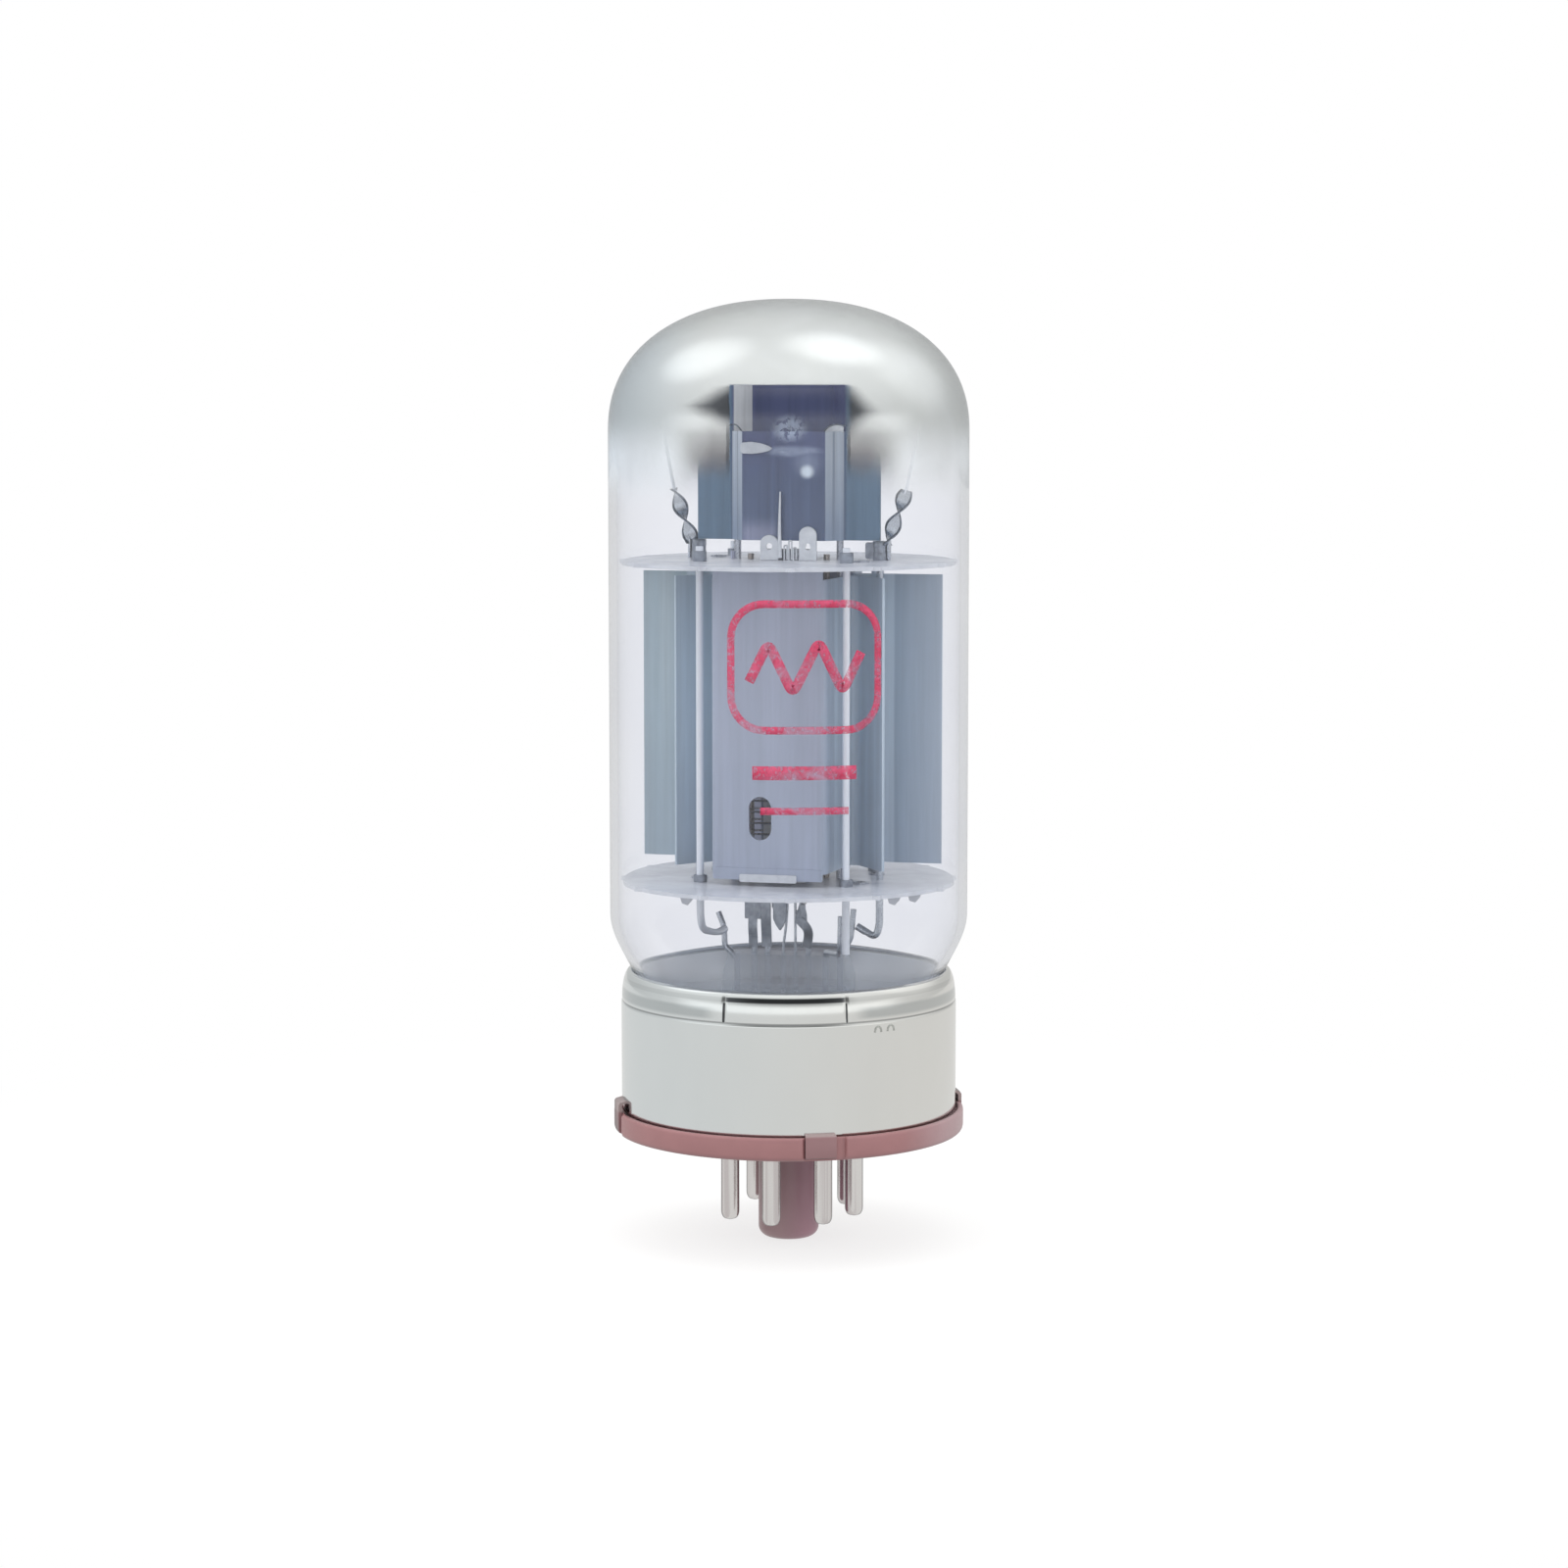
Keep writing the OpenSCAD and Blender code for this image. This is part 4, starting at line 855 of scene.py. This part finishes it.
make("sleeve_clips", clips.v, clips.f, M_TAB, sharp=40, replaces=["cathode_clips"], slot="nickel")

# Getter straps: a flat strip twisted about one turn, then straight up behind the silver to its ring
gs, ge, gu = Soup(), Soup(), Soup()
for s0 in (-1, 1):
    path = [(s0 * 12.95, -0.1, 75.6), (s0 * 13.0, -0.1, 76.4), (s0 * 13.5, -0.05, 77.6), (s0 * 14.15, 0, 79.4), (s0 * 14.75, 0, 81.1), (s0 * 15.35, 0, 82.6)]
    P = rounded(path, 0.8, 8)
    fine = []
    for a, b in zip(P, P[1:]):
        m_ = max(1, int((b - a).length / 0.12))
        fine += [a + (b - a) * (k / m_) for k in range(m_)]
    fine.append(P[-1])
    gs.add(*sweep(fine, bar(1.7, 0.16, 0.05), twist=s0 * 350, up=(0.35, 1, 0)))
    # dark rods along both edges of the strip: painted shade
    for e0 in (-0.86, 0.86):
        ge.add(*sweep(fine, [(e0 + px_, py_) for px_, py_ in disc(0.17, 8)], twist=s0 * 350, up=(0.35, 1, 0)))
    gu.add(*sweep(rounded([(s0 * 15.2, 0, 82.2), (s0 * 15.9, 0, 85.4), (s0 * 18.05, 0, 96.9)], 1.5), bar(0.14, 1.25, 0.05), up=(1, 0, 0)))
    gs.add(*plate(box_pts(1.1, 2.6, 0.2), 0.3, (s0 * 13.13, 0, 75.05), (0, 1, 0), Z))
make("getter_stalks", gu.v, gu.f, M_ROD, sharp=40)
make("getter_strip_edges", ge.v, ge.f, M_EDGE_SHADE, sharp=40)
make("getter_strips", gs.v, gs.f, M_WIRE, sharp=40, replaces=["getter_supports"], slot="dull_nickel")

# Crimped sleeves on the four rods that stand through the upper mica, and a square tab beside one of them
cr = Soup()
for s0 in (-1, 1):
    prof2 = [(0.5, 73.78), (0.98, 73.78), (1.02, 73.95), (1.0, 74.6), (0.92, 74.8), (0.92, 75.2), (1.0, 75.4), (1.0, 76.0), (0.93, 76.14), (0.5, 76.16)]
    cr.add(*lathe(prof2, 28, centre=(s0 * AU, 0)))
    cr.add(*lathe([(0.5, 73.78), (0.86, 73.78), (0.9, 73.9), (0.88, 75.0), (0.5, 75.05)], 24, centre=(s0 * SU, -SV)))
    if s0 > 0:
        cr.add(*plate(box_pts(1.15, 2.1, 0.3), 0.35, (10.75, -0.5, 74.95), X, Z))
make("rod_crimps", cr.v, cr.f, M_DULL, sharp=40)

# Small welded pieces on the radiator: oval tab and the remains of a getter bracket
wd = Soup()
oval = [(-2.05, 0.05), (-2.0, 0.5), (-1.75, 0.72), (-0.6, 0.84), (0.6, 0.66), (1.7, 0.32), (2.2, 0.0), (1.75, -0.32), (0.9, -0.55), (-0.5, -0.72), (-1.7, -0.66), (-2.0, -0.4)]
wd.add(*plate(oval, 0.2, (-3.55, -2.95, 87.85), X, (0, 0, 1)))
make("radiator_welds", wd.v, wd.f, M_TAB, sharp=40)
fh = Soup()
hook = [(4.72, 89.2), (4.8, 89.8), (5.1, 90.3), (5.6, 90.65), (6.3, 90.82), (7.1, 90.75), (7.35, 90.55), (7.3, 89.9), (5.45, 89.9), (5.4, 89.2)]
fh.add(*plate([(a - 6.0, b - 90.0) for a, b in hook], 0.18, (6.0, -0.62, 90.0), X, Z))
make("flange_hook", fh.v, fh.f, M_TAB, sharp=40)
# dark wires along the top of the bracket and the left flange: painted shade
fe = Soup()
fe.add(*wire([(4.62, -0.72, 89.15), (4.75, -0.72, 89.9), (5.15, -0.72, 90.42), (5.75, -0.72, 90.78), (6.5, -0.72, 90.93), (7.6, -0.72, 90.7)], 0.1, 0.3))
fe.add(*wire([(-7.7, -0.72, 90.75), (-6.9, -0.72, 90.95), (-6.2, -0.72, 90.3), (-5.5, -0.72, 89.0)], 0.1, 0.5))
make("flange_edges", fe.v, fe.f, M_EDGE_SHADE, sharp=40)

# Foot plate under the anode and thin mica wedges at the rim
ft = Soup()
ft.add(*plate(box_pts(7.4, 1.0, 0.2), 0.22, (0.1, -10.72, 33.95), X, Z))
make("anode_foot", ft.v, ft.f, M_TAB, sharp=40)
sk = Soup()
sk.add(*plate(box_pts(14.2, 1.5, 0.25), 0.2, (0, -10.45, 34.45), X, Z))
sk.add(*plate(box_pts(14.2, 1.5, 0.2), 0.2, (0, -10.4, 72.15), X, Z))
make("anode_skirt", sk.v, sk.f, M_ANODE, sharp=40)
wg = Soup()
for s0, d0 in ((-12.6, 13.5), (13.0, 13.5), (15.6, 11.0)):
    px, py = s0 * math.cos(AZ) + d0 * math.sin(AZ), s0 * math.sin(AZ) - d0 * math.cos(AZ)
    wg.add(*plate([(-0.9, 0.0), (-0.6, -1.15), (0.1, -1.4), (0.7, -0.7), (0.9, 0.0)], 0.18, (px, py, 32.4), (math.cos(AZ), math.sin(AZ), 0), Z))
make("mica_wedges", wg.v, wg.f, M_MICA, sharp=40)

# ---------------------------------------------------------------- generic printed mark on the glass: worn frame, zigzag and two bars
RP = 23.03


def printed(poly, soup, t=0.02):
    """Lays a flat outline, in mm across and up as seen from the front, on the bulb's wall."""
    v, n = [], len(poly)
    for r in (RP, RP + t):
        for s0, z0 in poly:
            a = s0 / 23.0 + AZ
            v.append((r * math.sin(a), -r * math.cos(a), z0))
    f = [(k, (k + 1) % n, n + (k + 1) % n, n + k) for k in range(n)]
    return v, f, n


def stroke(path, w, soup, closed=False):
    """Ink line of width w along a path of (across, up) points."""
    P = [Vector((*p, 0)) for p in path]
    if closed:
        P = P + [P[0]]
    fine = [P[0]]
    for a, b in zip(P, P[1:]):
        m_ = max(1, int((b - a).length / 0.8))
        fine += [a + (b - a) * ((k + 1) / m_) for k in range(m_)]
    v, f = [], []
    N_ = len(fine)
    for i, p in enumerate(fine):
        if closed:
            a, b = fine[(i - 1) % (N_ - 1)], fine[(i + 1) % (N_ - 1)]
        else:
            a, b = fine[max(0, i - 1)], fine[min(N_ - 1, i + 1)]
        t = (b - a).normalized()
        nrm = Vector((-t.y, t.x, 0))
        for q, r in ((p - nrm * w / 2, RP), (p + nrm * w / 2, RP), (p + nrm * w / 2, RP + 0.02), (p - nrm * w / 2, RP + 0.02)):
            a_ = q.x / 23.0 + AZ
            v.append((r * math.sin(a_), -r * math.cos(a_), q.y))
    for i in range(N_ - 1):
        for k in range(4):
            f.append((i * 4 + k, i * 4 + (k + 1) % 4, (i + 1) * 4 + (k + 1) % 4, (i + 1) * 4 + k))
    if not closed:
        f += [(3, 2, 1, 0), tuple((N_ - 1) * 4 + k for k in range(4))]
    soup.add(v, f)


ink = Soup()
CXP, W_, H_, Z_ = 2.1, 18.6, 15.5, 61.6
stroke([(x_ + CXP, y_ + Z_) for x_, y_ in box_pts(W_, H_, 4.2, 10)], 0.95, ink, True)
zig = rounded([(-7.0, -1.8, 0), (-4.6, 3.0, 0), (-1.6, -3.2, 0), (1.6, 3.2, 0), (4.6, -3.0, 0), (7.0, 1.8, 0)], 1.1, 8)
stroke([(p.x + CXP, p.y + Z_) for p in zig], 1.25, ink)
stroke([(CXP - 6.6, 48.6), (CXP + 6.4, 48.6)], 1.7, ink)
stroke([(CXP - 5.6, 43.9), (CXP + 5.4, 43.9)], 0.9, ink)
make("print", ink.v, ink.f, M_INK, sharp=0)

# ---------------------------------------------------------------- scene: floor, light, camera
CAM_D, EL = 0.5, math.radians(6.2)
aim = Vector((0, 0, 0.0448))
back = Vector((math.sin(AZ) * math.cos(EL), -math.cos(AZ) * math.cos(EL), math.sin(EL)))
cam = bpy.data.objects.new("camera", bpy.data.cameras.new("camera"))
bpy.context.scene.collection.objects.link(cam)
cam.location = aim + back * CAM_D
cam.rotation_euler = (-back).to_track_quat("-Z", "Y").to_euler()
cam.data.lens, cam.data.sensor_width, cam.data.shift_x = 89.3, 36, -0.003
bpy.context.scene.camera = cam



def direct(nt):
    """1 on a path that has not been reflected or scattered yet, so clear glass shows the plain backdrop."""
    lp = nd(nt, "ShaderNodeLightPath")
    n = math_(nt, "ADD", lp.outputs["Glossy Depth"], lp.outputs["Diffuse Depth"])
    return math_(nt, "LESS_THAN", n, 0.5)


fm, nt = nodes_of("pale_floor")
tc = nd(nt, "ShaderNodeTexCoord")
ln = nd(nt, "ShaderNodeVectorMath", operation="LENGTH")
nt.links.new(tc.outputs["Object"], ln.inputs[0])
far = mrange(nt, ln.outputs["Value"], 0.03, 0.16, 0.0, 1.0, True)
df = nd(nt, "ShaderNodeBsdfDiffuse", Color=(0.94, 0.94, 0.94, 1))
em = nd(nt, "ShaderNodeEmission", Color=(1, 1, 1, 1), Strength=1.0)
fac = mrange(nt, far, 0.0, 1.0, 0.72, 1.0)
mx = nd(nt, "ShaderNodeMixShader")
nt.links.new(fac, mx.inputs[0])
nt.links.new(df.outputs[0], mx.inputs[1])
nt.links.new(em.outputs[0], mx.inputs[2])
em2 = nd(nt, "ShaderNodeEmission", Color=(0.76, 0.76, 0.745, 1), Strength=1.0)
seen = direct(nt)
mx2 = nd(nt, "ShaderNodeMixShader")
nt.links.new(seen, mx2.inputs[0])
nt.links.new(em2.outputs[0], mx2.inputs[1])
nt.links.new(mx.outputs[0], mx2.inputs[2])
ou = nd(nt, "ShaderNodeOutputMaterial")
nt.links.new(mx2.outputs[0], ou.inputs["Surface"])
fme = bpy.data.meshes.new("floor")
fme.from_pydata([(-3, -3, 0), (3, -3, 0), (3, 3, 0), (-3, 3, 0)], [], [(0, 1, 2, 3)])
floor = bpy.data.objects.new("floor", fme)
floor.location = (0, 0, -0.01425)
bpy.context.scene.collection.objects.link(floor)
fme.materials.append(fm)

world = bpy.data.worlds.new("studio")
bpy.context.scene.world = world
world.use_nodes = True
wt = world.node_tree
wt.nodes.clear()
tc = nd(wt, "ShaderNodeTexCoord")
sp = nd(wt, "ShaderNodeSeparateXYZ")
wt.links.new(tc.outputs["Generated"], sp.inputs[0])
wx, wy, wz = sp.outputs[0], sp.outputs[1], sp.outputs[2]
ws = math_(wt, "ADD", math_(wt, "MULTIPLY", wx, math.cos(AZ)), math_(wt, "MULTIPLY", wy, math.sin(AZ)))
wd_ = math_(wt, "SUBTRACT", math_(wt, "MULTIPLY", wx, math.sin(AZ)), math_(wt, "MULTIPLY", wy, math.cos(AZ)))


def spot(vs, vd, vz, inner, outer, gain):
    """Soft round glow around a direction given as right, towards the viewer, up."""
    L = math.sqrt(vs * vs + vd * vd + vz * vz)
    dot = math_(wt, "ADD", math_(wt, "ADD", math_(wt, "MULTIPLY", ws, vs / L), math_(wt, "MULTIPLY", wd_, vd / L)), math_(wt, "MULTIPLY", wz, vz / L))
    return mrange(wt, dot, math.cos(math.radians(outer)), math.cos(math.radians(inner)), 0.0, gain, True)


amb = mrange(wt, wd_, -0.95, 0.4, 0.60, 0.76, True)
up_ = mrange(wt, wz, 0.1, 0.95, 0.0, 0.25, True)
glow = math_(wt, "ADD", math_(wt, "ADD", spot(-0.56, -0.12, 0.78, 3, 26, 0.36), spot(0.30, -0.08, 0.92, 4, 24, 0.4)), spot(0.8, -0.3, 0.6, 4, 32, 0.2))
rise = math_(wt, "MULTIPLY", mrange(wt, wz, -0.05, 0.05, 0.0, 0.34, True), mrange(wt, wz, 0.14, 0.24, 1.0, 0.0, True))
lit = math_(wt, "ADD", math_(wt, "ADD", math_(wt, "ADD", amb, up_), glow), math_(wt, "MULTIPLY", rise, mrange(wt, wd_, 0.0, 0.5, 0.0, 1.0, True)))
el_band = math_(wt, "MULTIPLY", mrange(wt, wz, 0.17, 0.36, 0.0, 1.0, True), mrange(wt, wz, 0.46, 0.72, 1.0, 0.0, True))
az_band = mrange(wt, math_(wt, "DIVIDE", math_(wt, "ABSOLUTE", ws), math_(wt, "MAXIMUM", wd_, 0.05)), 0.35, 1.3, 1.0, 0.0, True)
dark = math_(wt, "MULTIPLY", math_(wt, "MULTIPLY", el_band, az_band), mrange(wt, wd_, 0.05, 0.25, 0.0, 0.76, True))
lit = math_(wt, "MULTIPLY", lit, math_(wt, "SUBTRACT", 1.0, dark))
lpw = nd(wt, "ShaderNodeLightPath")
soft_only = math_(wt, "GREATER_THAN", lpw.outputs["Diffuse Depth"], 0.5)
lit = math_(wt, "ADD", math_(wt, "MULTIPLY", lit, math_(wt, "SUBTRACT", 1.0, soft_only)), math_(wt, "MULTIPLY", soft_only, 1.15))
soft = nd(wt, "ShaderNodeCombineColor")
for k, g in enumerate((0.99, 1.0, 0.985)):
    wt.links.new(math_(wt, "MULTIPLY", lit, g), soft.inputs[k])
bg1 = nd(wt, "ShaderNodeBackground", Strength=1.0)
wt.links.new(soft.outputs[0], bg1.inputs["Color"])
bg2 = nd(wt, "ShaderNodeBackground", Color=(1, 1, 1, 1), Strength=1.0)
mx = nd(wt, "ShaderNodeMixShader")
wt.links.new(direct(wt), mx.inputs[0])
wt.links.new(bg1.outputs[0], mx.inputs[1])
wt.links.new(bg2.outputs[0], mx.inputs[2])
wo = nd(wt, "ShaderNodeOutputWorld")
wt.links.new(mx.outputs[0], wo.inputs["Surface"])


def area(name, loc, size, power, target=(0, 0, 0.05)):
    l = bpy.data.lights.new(name, "AREA")
    l.shape, l.size, l.size_y, l.energy = "RECTANGLE", size[0], size[1], power
    ob = bpy.data.objects.new(name, l)
    ob.location = loc
    ob.rotation_euler = (Vector(target) - Vector(loc)).to_track_quat("-Z", "Y").to_euler()
    bpy.context.scene.collection.objects.link(ob)
    return ob


for o_ in (area("soft_left", (-0.55, -0.35, 0.45), (0.45, 0.6), 1.6), area("soft_right", (0.7, -0.25, 0.4), (0.45, 0.6), 1.3), area("soft_top", (0.0, -0.1, 0.7), (0.7, 0.5), 1.2)):
    o_.visible_glossy = False
    o_.visible_transmission = False

sc = bpy.context.scene
sc.view_settings.view_transform = "Standard"
sc.view_settings.look = "None"
sc.cycles.use_denoising = True
sc.cycles.max_bounces = 16
sc.cycles.transmission_bounces = 14
sc.cycles.transparent_max_bounces = 24
sc.cycles.glossy_bounces = 8
sc.cycles.sample_clamp_indirect = 6
